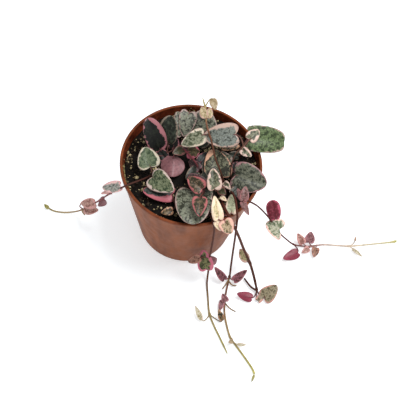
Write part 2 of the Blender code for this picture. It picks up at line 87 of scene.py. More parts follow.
class Look(Enum):
    """The kinds of blade that one plant bears."""

    GREY = Tint("242617", "7b7e6c", "a8938a", "805656", 0.8, 0.5)
    SILVER = Tint("41453f", "838981", "c8ac9e", "865657", 1.2, 0.55)
    MOSS = Tint("2a371a", "6a7b52", "a89285", "8e6569", 0.4, 0.5)
    # Painted shade: these two near-black looks stand for leaves that lie in shade deep in the
    # crown.
    DUSK = Tint("060805", "1b2016", "a46a70", "664048", 0.5, 0.4)
    SHADED_GREEN = Tint("11160c", "373e31", "7c6e60", "4e3f38", 0.6, 0.45)
    LEAFY = Tint("35442f", "697459", "c4baa6", "775e54", 1.6, 0.5)
    FRESH = Tint("2c3a22", "73795d", "ccb8ae", "83605e", 1.3, 0.5)
    SLATE = Tint("1d2320", "4a4e4a", "b5626c", "a0606a", 0.8, 0.5)
    OLIVE_CREAM = Tint("1a1a0d", "776244", "bc9273", "74483c", 1.0, 0.5)
    OLIVE = Tint("34321f", "4f4a31", "7d524b", "633a3b", 0.9, 0.45)
    OLIVE_ROSE = Tint("433a26", "6f6242", "bc6474", "a85c6c", 0.8, 0.45)
    ROSE_OLIVE = Tint("302a18", "715d49", "ad6161", "7c3d46", 1.2, 0.45)
    WINE = Tint("4c2628", "8c5860", "b07078", "8c5054", 0.8, 0.5)
    # Painted shade: a dark mauve look for leaves that lie in shade deep in the crown.
    SHADED_MAUVE = Tint("2c1c1a", "563f3f", "84585f", "744c54", 0.6, 0.45)
    CREAM = Tint("323622", "7c7c64", "d4b9ab", "865a50", 1.6, 0.5)
    PALE = Tint("464c36", "8c8e77", "d6c8b4", "957271", 1.2, 0.5)
    PALE_SPECK = Tint("626748", "bcbf9f", "dcc4b0", "a88678", 1.1, 0.75)
    OAT = Tint("4a4a2c", "a8a07c", "d2b0a2", "987c70", 1.2, 0.6)
    IVORY = Tint("7d7042", "d6c498", "efdabc", "c68985", 2.9, 0.6)
    PEACH = Tint("2a2a1e", "76765f", "d2a488", "a0605c", 0.7, 0.45)
    SAGE = Tint("202517", "676959", "9f7779", "704e4d", 0.7, 0.5)
    SAGE_PINK = Tint("433b26", "978c71", "cc988b", "9a6660", 0.8, 0.55)
    BLUSH = Tint("8a5c54", "bc9488", "cf9a94", "b88080", 1.2, 0.5)
    CRIMSON = Tint("4b2527", "844047", "a1545e", "93384c", 0.7, 0.5)
    MAROON = Tint("68232f", "8c3a4a", "b44e66", "8c3e4e", 0.6, 0.4)
    MAUVE = Tint("6a4246", "9c6e72", "b07a80", "98686c", 0.8, 0.5)
    ROSE = Tint("36361d", "7a7a50", "c66c80", "a85c68", 2.2, 0.45)
    BROWN = Tint("5a392a", "a37764", "ba8272", "895d4c", 0.8, 0.5)
    STRAW = Tint("766842", "b8a683", "c09a8b", "9a8071", 0.8, 0.6)
    STRAW_GREEN = Tint("897c4f", "cfc6ad", "d9c9bc", "b19b87", 0.6, 0.55)
    RIM_CREAM = Tint("615638", "c0a88a", "e6b8a4", "ac4a60", 1.9, 0.5)
    ASH = Tint("42443c", "9d9c94", "e3bbb7", "bc6675", 1.1, 0.55)
    SPRIG = Tint("583833", "876260", "9f6969", "835759", 0.7, 0.5)
    BEIGE = Tint("806c4a", "ac9a7b", "b1987f", "917a61", 0.8, 0.55)
    TIP = Tint("847c3a", "9f9857", "a39866", "98925e", 0.3, 0.5)
    MOTTLED_CREAM = Tint("5f6b4e", "bdbaa4", "f0c8bb", "d5a39b", 1.5, 0.5)


@dataclass(frozen=True)
class Leaf:
    """One blade and its stalk. base and tip are (column, row, height).

    at is where the stalk springs, as an index into the stem's route. roll turns the blade about
    its midrib, away from facing the viewer. fold is how far each half is raised, cup how far it
    turns on the way to its margin and droop how far the midrib turns down, all in degrees. taper
    is the share of its width that the blade loses towards its tip, and full, when under 1, fills
    out its shoulders. blush widens the margin band by that share of itself, on the right half, or
    on the left if it is negative. cap is how many millimetres the band is wider at the tip, on
    the blushing half alone where there is one.
    """

    at: float
    base: Place
    tip: Place
    width: float
    cut: Cut
    look: Look
    roll: float = 0.0
    fold: float = 14.0
    cup: float = -20.0
    droop: float = 25.0
    taper: float = 0.3
    full: float = 1.0
    blush: float = 0.0
    cap: float = 0.0


@dataclass(frozen=True)
class Vine:
    """One stem with its leaves. colours lists (index into the route, sRGB hex) along the stem.

    fill lists the small leaves deep in the crown, which only the looks need. Most take the dark
    looks that paint the crown's shade.
    """

    name: str
    route: list[Place]
    leaves: list[Leaf]
    fill: list[Leaf] = field(default_factory=list)
    shoots: tuple[list[Place], ...] = ()
    radius: float = 0.62
    bud: bool = False
    colours: tuple[tuple[float, str], ...] = ((0.0, "4a2f28"), (3.0, "5f3a32"))


VINES = [
    Vine(
        "left_trail",
        [(150, 176, 80.5), (143.5, 179, 86), (134, 182.5, 89), (127.2, 185, 89), (119, 189, 82),
         (110, 193.5, 66), (101.5, 199, 50), (96, 202.4, 39), (88, 206.5, 24), (80, 210.4, 9),
         (72, 212, 2.5), (62, 212.2, 1), (53, 210.5, 1), (47.3, 207, 1.6)],
        [Leaf(4.2, (120, 185.5, 85), (102.5, 188, 80), 9, Cut.ROUND, Look.ASH, roll=20,
              taper=0.15),
         Leaf(5, (112, 193, 64), (101, 193.5, 60), 6, Cut.SLIM, Look.BLUSH, roll=-60),
         Leaf(6.3, (104.5, 199.5, 46), (98, 206, 40), 7.5, Cut.SLIM, Look.MAUVE, roll=160),
         Leaf(7.3, (95, 203, 38), (80.8, 203.4, 32), 9.2, Cut.SLIM, Look.BLUSH, roll=20),
         Leaf(7.7, (84.5, 209.3, 20), (98.4, 210, 24), 8.8, Cut.SLIM, Look.BLUSH, roll=-10),
         Leaf(8.8, (82.5, 209, 14), (84.8, 215.5, 11), 2.6, Cut.YOUNG, Look.STRAW),
         Leaf(12.7, (49.2, 208.6, 2.2), (44.1, 204.1, 2.8), 3.6, Cut.YOUNG, Look.TIP, fold=30)],
        shoots=([(83, 209, 14), (79.8, 206.5, 18), (81.5, 202.5, 22)],),
        colours=((0, "45261f"), (3, "50312a"), (6, "8a4f52"), (8, "8a5f50"), (10, "a8906c"),
                 (13, "8e7c48")),
    ),
    Vine(
        "west_leaves",
        [(156, 177, 80.5), (154.5, 175.5, 84), (152.5, 173.5, 87)],
        [Leaf(2, (150.3, 166.8, 89.5), (144.5, 147.3, 93.5), 17, Cut.HEART, Look.LEAFY),
         Leaf(1.5, (152.5, 177, 88), (173.8, 190.8, 91), 17, Cut.HEART, Look.FRESH)],
        fill=[Leaf(1.4, (158, 172, 85), (164.5, 181, 85.5), 7, Cut.SLIM, Look.MAUVE)],
    ),
    Vine(
        "south_west_leaves",
        [(176.5, 207, 80.5), (175, 203, 83.5), (173, 199, 85)],
        [Leaf(2, (171.5, 194.5, 83.2), (143, 190.5, 82.8), 13.5, Cut.ROUND, Look.SLATE,
              roll=-18, fold=10, taper=0.15, blush=-2.6),
         Leaf(0.9, (172.3, 210.5, 84.5), (161, 212.8, 84.5), 6.2, Cut.HEART, Look.OLIVE_CREAM)],
    ),
    Vine(
        "north_west_leaves",
        [(168, 158, 80.5), (167.5, 155, 84), (167, 152, 87)],
        [Leaf(1.4, (160, 150, 86), (147.2, 118, 104), 15.5, Cut.OVAL, Look.DUSK, roll=-12,
              fold=20, taper=0.05, blush=4.2),
         Leaf(2, (168, 143, 89), (170.8, 115.5, 102), 15, Cut.OVAL, Look.SHADED_GREEN, roll=15,
              fold=20, taper=0.1, blush=-1.5),
         Leaf(1.8, (174, 147, 86), (171.5, 131.5, 92), 9, Cut.ROUND, Look.DUSK),
         Leaf(0.8, (165, 158, 84), (156.5, 147.5, 84.5), 8.5, Cut.ROUND, Look.DUSK),
         Leaf(0.9, (154, 153, 86.5), (147.5, 140.5, 91), 5.5, Cut.SLIM, Look.MAUVE, roll=180)],
    ),
    Vine(
        "north_leaves",
        [(195, 147, 80.5), (194.5, 144, 84), (193.5, 141, 87.5)],
        [Leaf(1.5, (182.5, 134.5, 92), (177.3, 111.5, 99), 12.5, Cut.ROUND, Look.GREY, roll=-15),
         Leaf(2, (189, 113, 99), (183.5, 136.5, 92), 14, Cut.ROUND, Look.GREY, roll=10, droop=10),
         Leaf(1.8, (204.5, 134, 88), (202, 110, 96), 20, Cut.BROAD, Look.GREY, taper=0.15,
              blush=-2)],
        fill=[Leaf(0.8, (199, 142, 86), (212, 137, 88), 12, Cut.ROUND, Look.SHADED_GREEN),
              Leaf(0.7, (190, 146, 85), (181, 141.5, 87), 9, Cut.ROUND, Look.SHADED_MAUVE)],
    ),
    Vine(
        "pink_sprig",
        [(199.5, 172, 80.5), (198, 167, 85), (194, 160.5, 88.5), (189, 154.5, 91),
         (184.5, 150, 92.5)],
        [Leaf(3, (188, 151, 92), (199.5, 152, 90), 12, Cut.SLIM, Look.OLIVE_ROSE, roll=-20,
              blush=1.5),
         Leaf(4, (183, 149.5, 93), (172.5, 153.5, 95), 8, Cut.SLIM, Look.OLIVE),
         Leaf(3.4, (173, 156.5, 89), (171.5, 177, 84), 19, Cut.OVAL, Look.MAUVE, roll=180,
              fold=30, cup=-12, droop=10, taper=0.1, full=1.25),
         Leaf(1, (199, 169.5, 84.5), (189, 160.5, 84), 8, Cut.SLIM, Look.SHADED_MAUVE)],
        fill=[Leaf(0.6, (197, 172, 83.5), (186, 179, 84), 11, Cut.ROUND, Look.SHADED_GREEN),
              Leaf(1.5, (200, 163, 84), (208, 152.5, 84.5), 9, Cut.ROUND, Look.DUSK)],
        colours=((0, "4a2b2a"), (4, "9a4f55")),
    ),
    Vine(
        "top_vine",
        [(224.8, 186, 80.5), (224, 182.5, 87), (221.6, 175, 94), (219.2, 168, 98.5),
         (216.2, 161.2, 101), (213.9, 152, 105), (211, 139.4, 110), (208.7, 132.5, 112),
         (206.4, 123.3, 113), (206, 117, 112.5), (205.5, 109, 112), (202.8, 98, 112)],
        [Leaf(0.7, (220, 176.5, 85), (212, 149.5, 88), 21, Cut.ROUND, Look.PEACH, blush=-0.01,
              cap=7),
         Leaf(0.3, (209, 173, 83), (206, 157, 83.5), 10, Cut.ROUND, Look.SHADED_GREEN),
         Leaf(6.2, (203.5, 134.5, 108), (181.5, 145, 101), 12.5, Cut.HEART, Look.PALE, roll=10),
         Leaf(8.8, (205, 118.5, 113.5), (202, 106.5, 116), 6.5, Cut.YOUNG, Look.STRAW),
         Leaf(9, (208, 118.5, 113.5), (210.5, 107.5, 115), 6, Cut.YOUNG, Look.STRAW),
         Leaf(10.2, (212.5, 98.5, 114), (215.5, 110, 112), 6, Cut.YOUNG, Look.BEIGE, taper=0.1)],
        colours=((0, "40241b"), (5, "5a3829"), (8, "7a5440"), (9, "a48c64"), (11, "a89a66")),
    ),
    Vine(
        "right_sprig",
        [(230.7, 181, 80.5), (230.7, 176.5, 87), (230.8, 169, 93), (232.5, 161, 98),
         (236, 153, 102), (241.5, 148, 104), (243.3, 146.5, 104.5)],
        [Leaf(6, (235.5, 134.5, 104), (203.5, 136.5, 99), 18, Cut.ROUND, Look.SILVER, roll=10,
              taper=0.2, blush=1),
         Leaf(6, (249.5, 139.5, 106), (258.5, 129.8, 107), 9.5, Cut.HEART, Look.CREAM),
         Leaf(5.6, (241.5, 149.5, 103), (251.5, 156.3, 99), 6.5, Cut.HEART, Look.CREAM)],
        fill=[Leaf(0.6, (232, 176, 84), (226, 161, 85), 11, Cut.ROUND, Look.SHADED_GREEN),
              Leaf(1, (233, 170, 86), (243, 163, 85), 9, Cut.ROUND, Look.DUSK),
              Leaf(2.5, (228.5, 163, 88), (221, 152, 86.5), 9, Cut.ROUND, Look.GREY)],
        radius=0.45,
        colours=((0, "3c221a"), (3, "4c3026"), (6, "6a4a3e")),
    ),
    Vine(
        "east_leaves",
        [(240, 157, 80.5), (241.5, 154, 85), (243.5, 151, 89)],
        [Leaf(2, (250, 138, 94), (284.3, 142, 88), 19, Cut.ROUND, Look.MOSS, taper=-0.05,
              full=0.5, cap=1),
         Leaf(1, (237.5, 144, 87), (221.5, 149.7, 86), 7, Cut.HEART, Look.OLIVE_CREAM)],
        fill=[Leaf(0.7, (238, 156, 84), (228, 154, 85), 7, Cut.ROUND, Look.SHADED_GREEN)],
    ),
    Vine(
        "south_east_leaves",
        [(234, 186, 80.5), (233.5, 183, 85), (233.5, 180, 88)],
        [Leaf(2, (236, 175, 91), (266.5, 184.5, 88), 22, Cut.ROUND, Look.SAGE, taper=0.2, cap=1)],
    ),
    Vine(
        "centre_sprig",
        [(218.5, 195.5, 80.5), (218, 193, 87), (216.5, 191, 94)],
        [Leaf(2, (214.7, 189, 98), (213.2, 168.5, 102), 11, Cut.HEART, Look.CREAM),
         Leaf(1.4, (219.5, 189, 92), (225.5, 195, 92), 6.5, Cut.SLIM, Look.OLIVE),
         Leaf(1, (221, 196.5, 90), (226.8, 201, 90), 3.5, Cut.HEART, Look.IVORY),
         Leaf(0.8, (224.5, 182.5, 90), (230.5, 189.5, 90), 5, Cut.HEART, Look.CREAM)],
    ),
    Vine(
        "south_leaves",
        [(201, 204, 80.5), (201, 201, 85), (201.5, 197, 90), (202, 194.5, 94)],
        [Leaf(1, (194, 192, 87.5), (192.5, 224.3, 90.5), 26, Cut.BROAD, Look.GREY, taper=0.1,
              full=0.85),
         Leaf(3, (202.3, 189, 95.3), (188, 177.5, 96), 12, Cut.SLIM, Look.ROSE_OLIVE, fold=20),
         Leaf(3, (200, 198, 97), (199.2, 216.5, 97), 11.3, Cut.SLIM, Look.ROSE_OLIVE),
         Leaf(2, (204, 187, 91.5), (188.5, 174.5, 92.5), 11, Cut.ROUND, Look.SHADED_MAUVE),
         Leaf(1.5, (205.5, 191, 88), (204, 172, 87.4), 9, Cut.ROUND, Look.SHADED_GREEN)],
        fill=[Leaf(0.5, (203, 204, 83.5), (210.5, 213, 84), 9, Cut.ROUND, Look.SHADED_GREEN),
              Leaf(0.8, (203.5, 198, 85), (212, 190, 84.5), 9, Cut.ROUND, Look.GREY)],
    ),
    Vine(
        "cream_sprig",
        [(217, 208, 80.5), (217.5, 211.5, 86), (218, 215.5, 90), (218.5, 218.5, 91.5)],
        [Leaf(2.6, (218.5, 218.8, 94), (214.3, 195.8, 97), 8.8, Cut.HEART, Look.IVORY,
              taper=0.45),
         Leaf(1.6, (231.3, 213, 87.5), (231.8, 194, 86), 8.6, Cut.HEART, Look.PALE_SPECK),
         Leaf(3, (224.5, 220.5, 92), (230.5, 233.8, 85), 11, Cut.HEART, Look.RIM_CREAM, droop=45),
         Leaf(2.8, (216, 221.5, 91.5), (221, 230.8, 87), 5, Cut.HEART, Look.IVORY)],
        fill=[Leaf(0.6, (214.5, 208, 84), (207, 216, 84), 7, Cut.SLIM, Look.SHADED_MAUVE),
              Leaf(0.7, (221, 209, 84.5), (230, 212.5, 85), 8, Cut.SLIM, Look.ROSE_OLIVE)],
        colours=((0, "4a2b2a"), (3, "8a4a50")),
    ),
    Vine(
        "front_trail_left",
        [(208, 207, 80.5), (209.5, 212, 86), (211.5, 217, 89.5), (213.2, 222, 89.5),
         (214.2, 229, 81), (213.5, 236, 69), (212, 245, 53), (210.6, 252, 39), (209.2, 261, 22),
         (208.4, 270, 8), (207, 283, 1.7), (207.8, 296, 1), (209.3, 313, 1), (213.7, 325, 1),
         (219, 336, 1), (227.4, 353.5, 1)],
        [Leaf(8.2, (206.5, 269.5, 22), (203, 249.8, 32), 12.5, Cut.SLIM, Look.ROSE, taper=0.2),
         Leaf(8, (210.5, 262, 24), (217, 258.5, 26), 9, Cut.SLIM, Look.MAUVE, roll=150),
         Leaf(7.8, (200, 257.5, 30), (188.3, 262, 24), 7, Cut.SLIM, Look.BROWN),
         Leaf(12.1, (202, 320.5, 2.5), (195.2, 305.5, 6), 4.5, Cut.YOUNG, Look.STRAW_GREEN),
         Leaf(12.1, (222.3, 320.8, 3.5), (218.5, 309, 8), 5, Cut.YOUNG, Look.OLIVE_CREAM)],
        radius=0.72,
        colours=((0, "4c261e"), (7, "573025"), (10, "6a4736"), (12, "9a865c"), (15, "a59a5c")),
    ),
    Vine(
        "front_trail_middle",
        [(229, 190, 80.5), (231, 191.5, 88), (233.5, 195, 94), (235.7, 201, 96),
         (236.9, 211.7, 95), (237.4, 218, 92), (236.3, 227.8, 84.2), (235, 238, 65.2),
         (233.2, 250, 45), (231.2, 264, 23), (229.8, 275, 6), (228, 283, 1.8),
         (225.4, 296.3, 1), (224.4, 309.6, 1), (225.9, 321.8, 1), (230, 337, 1),
         (235, 344.3, 1), (243.3, 355.5, 1), (250.4, 365.7, 1), (253.3, 370.8, 1.2),
         (254.4, 374.3, 1.5)],
        [Leaf(10.2, (224.4, 279.5, 6), (214.7, 267, 12), 6.5, Cut.SLIM, Look.WINE),
         Leaf(10.2, (233.8, 280.5, 6), (247, 270, 12), 7, Cut.SLIM, Look.WINE),
         Leaf(12.2, (222.5, 301, 3), (219.3, 311, 2.3), 5, Cut.SLIM, Look.WINE),
         Leaf(12.2, (226, 301.5, 4), (222.3, 293.5, 8), 6, Cut.SLIM, Look.MAUVE),
         Leaf(15, (233, 340.5, 3), (228.3, 342.5, 5), 4, Cut.YOUNG, Look.BEIGE),
         Leaf(15.4, (237, 344.3, 3), (246.4, 344.8, 4), 3, Cut.YOUNG, Look.STRAW_GREEN),
         Leaf(19.6, (254.2, 374.8, 1.6), (251.6, 382, 1.6), 2, Cut.YOUNG, Look.TIP)],
        fill=[Leaf(1.1, (232.5, 194, 87), (240, 186.5, 87), 8, Cut.ROUND, Look.SHADED_GREEN)],
        shoots=([(229, 279, 3), (226, 284, 3), (222.5, 289, 3)],
                [(224.8, 303, 1.3), (230, 308.5, 2.2), (235.5, 311.7, 3)],
                [(228.6, 281, 2.5), (232, 285, 2), (236.5, 285.8, 2)]),
        radius=0.74,
        colours=((0, "4c251d"), (9, "552c22"), (12, "7e5544"), (15, "a08a5e"), (18, "aca25f"),
                 (20, "c9c070")),
    ),
    Vine(
        "front_trail_right",
        [(221, 200, 80.5), (222.5, 204, 88), (225, 209, 93), (228.2, 214.8, 93.5),
         (231.3, 221, 89.5), (235.4, 229.1, 76.5), (239.4, 238, 62), (243.4, 248.3, 46),
         (249.4, 261.6, 26), (253.5, 275, 11), (257, 290.5, 2)],
        [Leaf(8.1, (247.5, 262, 22), (240, 249, 18), 8, Cut.YOUNG, Look.OAT),
         Leaf(9.9, (251.5, 298, 3), (237, 293.5, 6), 8, Cut.SLIM, Look.CRIMSON, roll=170),
         Leaf(10, (264, 297.5, 3), (277, 285.5, 8), 13.5, Cut.ROUND, Look.SAGE_PINK),
         Leaf(9.95, (258, 300.5, 2.5), (264.5, 292, 3), 6, Cut.ROUND, Look.SAGE_PINK)],
        shoots=([(256.5, 290.5, 3), (250.5, 286.5, 2.5), (244.2, 278.3, 2)],),
        radius=1.02,
        colours=((0, "4e251c"), (6, "5a3023"), (10, "4c2a20")),
    ),
    Vine(
        "right_trail",
        [(237, 192, 80.5), (240, 195, 88), (243.5, 199, 92.5), (248, 201, 92.5),
         (256.3, 205.2, 84), (264, 212.2, 68), (271, 220.5, 51), (279.6, 232.8, 28),
         (286, 239, 16), (293.1, 244.2, 6), (300, 245.8, 2), (309.4, 246.4, 1),
         (318, 245.1, 1.2), (326.7, 244.7, 1), (347.3, 246, 1), (359.3, 245.3, 1),
         (375.5, 243.7, 1), (391.8, 242, 1.35), (397, 240.8, 1.9)],
        [Leaf(2, (243.5, 200.5, 95), (245.6, 186.5, 98), 7, Cut.SLIM, Look.SPRIG),
         Leaf(2.2, (242.5, 202, 94), (248.8, 215.2, 92), 5, Cut.SLIM, Look.SPRIG),
         Leaf(2, (241.5, 199, 94), (237.5, 188.5, 95), 4.5, Cut.SLIM, Look.SPRIG),
         Leaf(5.9, (275, 219.5, 54), (272.5, 200, 62), 10, Cut.OVAL, Look.MAROON, roll=15,
              taper=-0.3, blush=1),
         Leaf(6.5, (279.5, 229.5, 42), (265.6, 223.8, 49), 17, Cut.WINGED, Look.MOTTLED_CREAM,
              roll=-10),
         Leaf(9, (298, 252.5, 4), (283.2, 258.8, 3.5), 9, Cut.SLIM, Look.CRIMSON, roll=175),
         Leaf(11, (303, 243.5, 4), (297.5, 233.3, 8), 7, Cut.SLIM, Look.BLUSH),
         Leaf(11.4, (309, 242.5, 4), (311, 231.5, 9), 9, Cut.SLIM, Look.MAUVE),
         Leaf(11.8, (316, 248, 3), (313.8, 257.3, 3), 7, Cut.SLIM, Look.BROWN),
         Leaf(11.2, (308.6, 248.2, 2.6), (301.8, 252.8, 2.2), 5.6, Cut.SLIM, Look.BLUSH),
         Leaf(14, (355, 241.3, 2.5), (355.6, 236.5, 4), 2, Cut.YOUNG, Look.STRAW),
         Leaf(14.1, (352, 248.2, 2), (362.4, 256.9, 2.4), 3.4, Cut.YOUNG, Look.STRAW_GREEN)],
        bud=True,
        colours=((0, "4c231c"), (6, "542722"), (9, "623230"), (12, "a68078"), (13, "c9b0a0"),
                 (16, "d3c6a8"), (18, "b0aa50")),
    ),
]


# Small tools for colour, nodes and meshes

def linear(hex_colour: str) -> tuple[float, float, float, float]:
    """Turn an sRGB colour into linear light.

    Args:
        hex_colour: Six hex digits.

    Returns:
        Red, green, blue and an alpha of one.
    """
    channels = [int(hex_colour[i:i + 2], 16) / 255 for i in (0, 2, 4)]
    light = [c / 12.92 if c <= 0.04045 else ((c + 0.055) / 1.055) ** 2.4 for c in channels]
    return light[0], light[1], light[2], 1.0


def add_node(material: bpy.types.Material, kind: str, settings: dict | None = None,
             **inputs: object) -> bpy.types.Node:
    """Add a shader node, with its settings, socket values and links.

    Args:
        material: The material whose tree gets the node.
        kind: The node's type name, without its leading ShaderNode.
        settings: Attributes of the node itself.
        **inputs: Socket names, with underscores for spaces, or in0, in1 and so on for a socket's
            place. A value that is an output socket is linked, and any other is set.

    Returns:
        The new node.
    """
    tree = material.node_tree
    node = tree.nodes.new(f"ShaderNode{kind}")
    for key, value in (settings or {}).items():
        setattr(node, key, value)
    for key, value in inputs.items():
        spot = int(key[2:]) if key[:2] == "in" and key[2:].isdigit() else key.replace("_", " ")
        if isinstance(value, bpy.types.NodeSocket):
            tree.links.new(value, node.inputs[spot])
        else:
            node.inputs[spot].default_value = value
    return node


def bare_material(name: str) -> tuple[bpy.types.Material, bpy.types.NodeSocket]:
    """A new material with an empty tree, and the socket that gives a point's place in the object.

    Args:
        name: The material's name.

    Returns:
        The material and the place socket.
    """
    material = bpy.data.materials.new(name)
    material.use_nodes = True
    material.node_tree.nodes.clear()
    return material, add_node(material, "TexCoord").outputs["Object"]


@dataclass
class Surface:
    """Points, faces and per-point attributes of one or more shapes, gathered into one mesh."""

    points: list[np.ndarray] = field(default_factory=list)
    faces: list[np.ndarray] = field(default_factory=list)
    attributes: dict[str, list[np.ndarray]] = field(default_factory=dict)
    count: int = 0

    def add(self, points: np.ndarray, faces: list[np.ndarray], **attributes: np.ndarray) -> None:
        """Add one shape.

        Args:
            points: Its points, one row each, in millimetres.
            faces: Arrays of triangles or quads, as indices into points.
            **attributes: A value or a colour for each point.
        """
        self.points.append(points)
        self.faces += [block + self.count for block in faces]
        for name, values in attributes.items():
            self.attributes.setdefault(name, []).append(values)
        self.count += len(points)

    def build(self, name: str, material: bpy.types.Material) -> bpy.types.Object:
        """Make the mesh and its object.

        Args:
            name: The object's name.
            material: Its material.

        Returns:
            The object, at the origin.
        """
        mesh = bpy.data.meshes.new(name)
        polygons = [face for block in self.faces for face in block.tolist()]
        mesh.from_pydata((np.vstack(self.points) * MM).tolist(), [], polygons)
        for key, blocks in self.attributes.items():
            values = np.concatenate(blocks).astype(np.float32)
            kind, target = ("FLOAT_COLOR", "color") if values.ndim == 2 else ("FLOAT", "value")
            mesh.attributes.new(key, kind, "POINT").data.foreach_set(target, values.ravel())
        mesh.shade_smooth()
        mesh.materials.append(material)
        obj = bpy.data.objects.new(name, mesh)
        bpy.context.scene.collection.objects.link(obj)
        return obj


def declare(piece: bpy.types.Object, node: str) -> None:
    """Hang a piece on the only body, and hide the CAD node that it replaces.

    Args:
        piece: The piece.
        node: The CAD node's name.
    """
    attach(piece, "root")
    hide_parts(node)


def wrapped_grid(rows: int, columns: int) -> list[np.ndarray]:
    """Faces of a closed tube of rings with a pole at each end.

    Args:
        rows: Number of rings between the poles.
        columns: Points in each ring.

    Returns:
        The quads between rings and the triangles at both poles. Point 0 is the first pole and
        the last point the second, and rings lie between them in order.
    """
    ring = np.arange(columns)
    after = (ring + 1) % columns
    start = 1 + np.arange(rows - 1)[:, None] * columns
    quads = np.stack([start + ring, start + after, start + columns + after,
                      start + columns + ring], axis=-1).reshape(-1, 4)
    last = 1 + (rows - 1) * columns
    first_fan = np.stack([np.zeros_like(ring), 1 + after, 1 + ring], axis=-1)
    last_fan = np.stack([np.full_like(ring, last + columns), last + ring, last + after], axis=-1)
    return [quads, first_fan, last_fan]


def value_noise(points: np.ndarray, cell: float, seed: int) -> np.ndarray:
    """Smooth noise in space: random values on a cubic lattice, blended along each axis.

    Args:
        points: Points, one row each.
        cell: The lattice's spacing.
        seed: Which noise.

    Returns:
        A value from -1 to 1 for each point.
    """
    scaled = points / cell
    whole = np.floor(scaled).astype(np.int64)
    part = scaled - whole
    part = part * part * (3 - 2 * part)
    total = np.zeros(len(points))
    for corner in range(8):
        shift = np.array([corner & 1, corner >> 1 & 1, corner >> 2])
        spot = (whole + shift) @ np.array([73856093, 19349663, 83492791]) + seed * 2654435761
        spot = (spot ^ (spot >> 13)) * 1274126177
        spot = (spot ^ (spot >> 16)) & 0xFFFF
        weight = np.prod(np.where(shift == 1, part, 1 - part), axis=1)
        total += weight * (spot / 32767.5 - 1)
    return total


# The viewpoint

@dataclass(frozen=True)
class Sight:
    """The viewpoint that the plant is set out from, which is also the camera's."""

    elevation: float = math.radians(60.9)  # how far it looks down
    roll: float = math.radians(9.1)
    distance: float = 559.0  # to the middle of the pot's rim
    focus: float = 800.0  # focal length, in the picture's units
    middle: float = 208.0  # the picture's middle column and row
    rim_column: float = 191.6  # where the middle of the rim is seen
    rim_row: float = 162.4
    rim_height: float = 86.0

    def axes(self) -> tuple[np.ndarray, np.ndarray, np.ndarray]:
        """The picture's own directions.

        Returns:
            Its right, its up and the way that it looks, as unit vectors.
        """
        forward = np.array([0.0, math.cos(self.elevation), -math.sin(self.elevation)])
        level = np.array([1.0, 0.0, 0.0])
        upright = np.cross(level, forward)
        right = math.cos(self.roll) * level + math.sin(self.roll) * upright
        up = math.cos(self.roll) * upright - math.sin(self.roll) * level
        return right, up, forward

    def eye(self) -> np.ndarray:
        """Find the viewpoint, from where the middle of the rim is seen.

        Returns:
            Its place, in millimetres.
        """
        right, up, forward = self.axes()
        scale = self.distance / self.focus
        return (np.array([0.0, 0.0, self.rim_height]) - self.distance * forward
                - (self.rim_column - self.middle) * scale * right
                + (self.rim_row - self.middle) * scale * up)

    def at(self, column: float, row: float, height: float) -> np.ndarray:
        """Find a point on a line of sight.

        Args:
            column: The picture's column.
            row: The picture's row.
            height: Height over the table.

        Returns:
            The point at that height, in millimetres.
        """
        right, up, forward = self.axes()
        eye = self.eye()
        ray = (forward + (column - self.middle) / self.focus * right
               - (row - self.middle) / self.focus * up)
        return eye + ray * (height - eye[2]) / ray[2]


SIGHT = Sight()


# Finishes

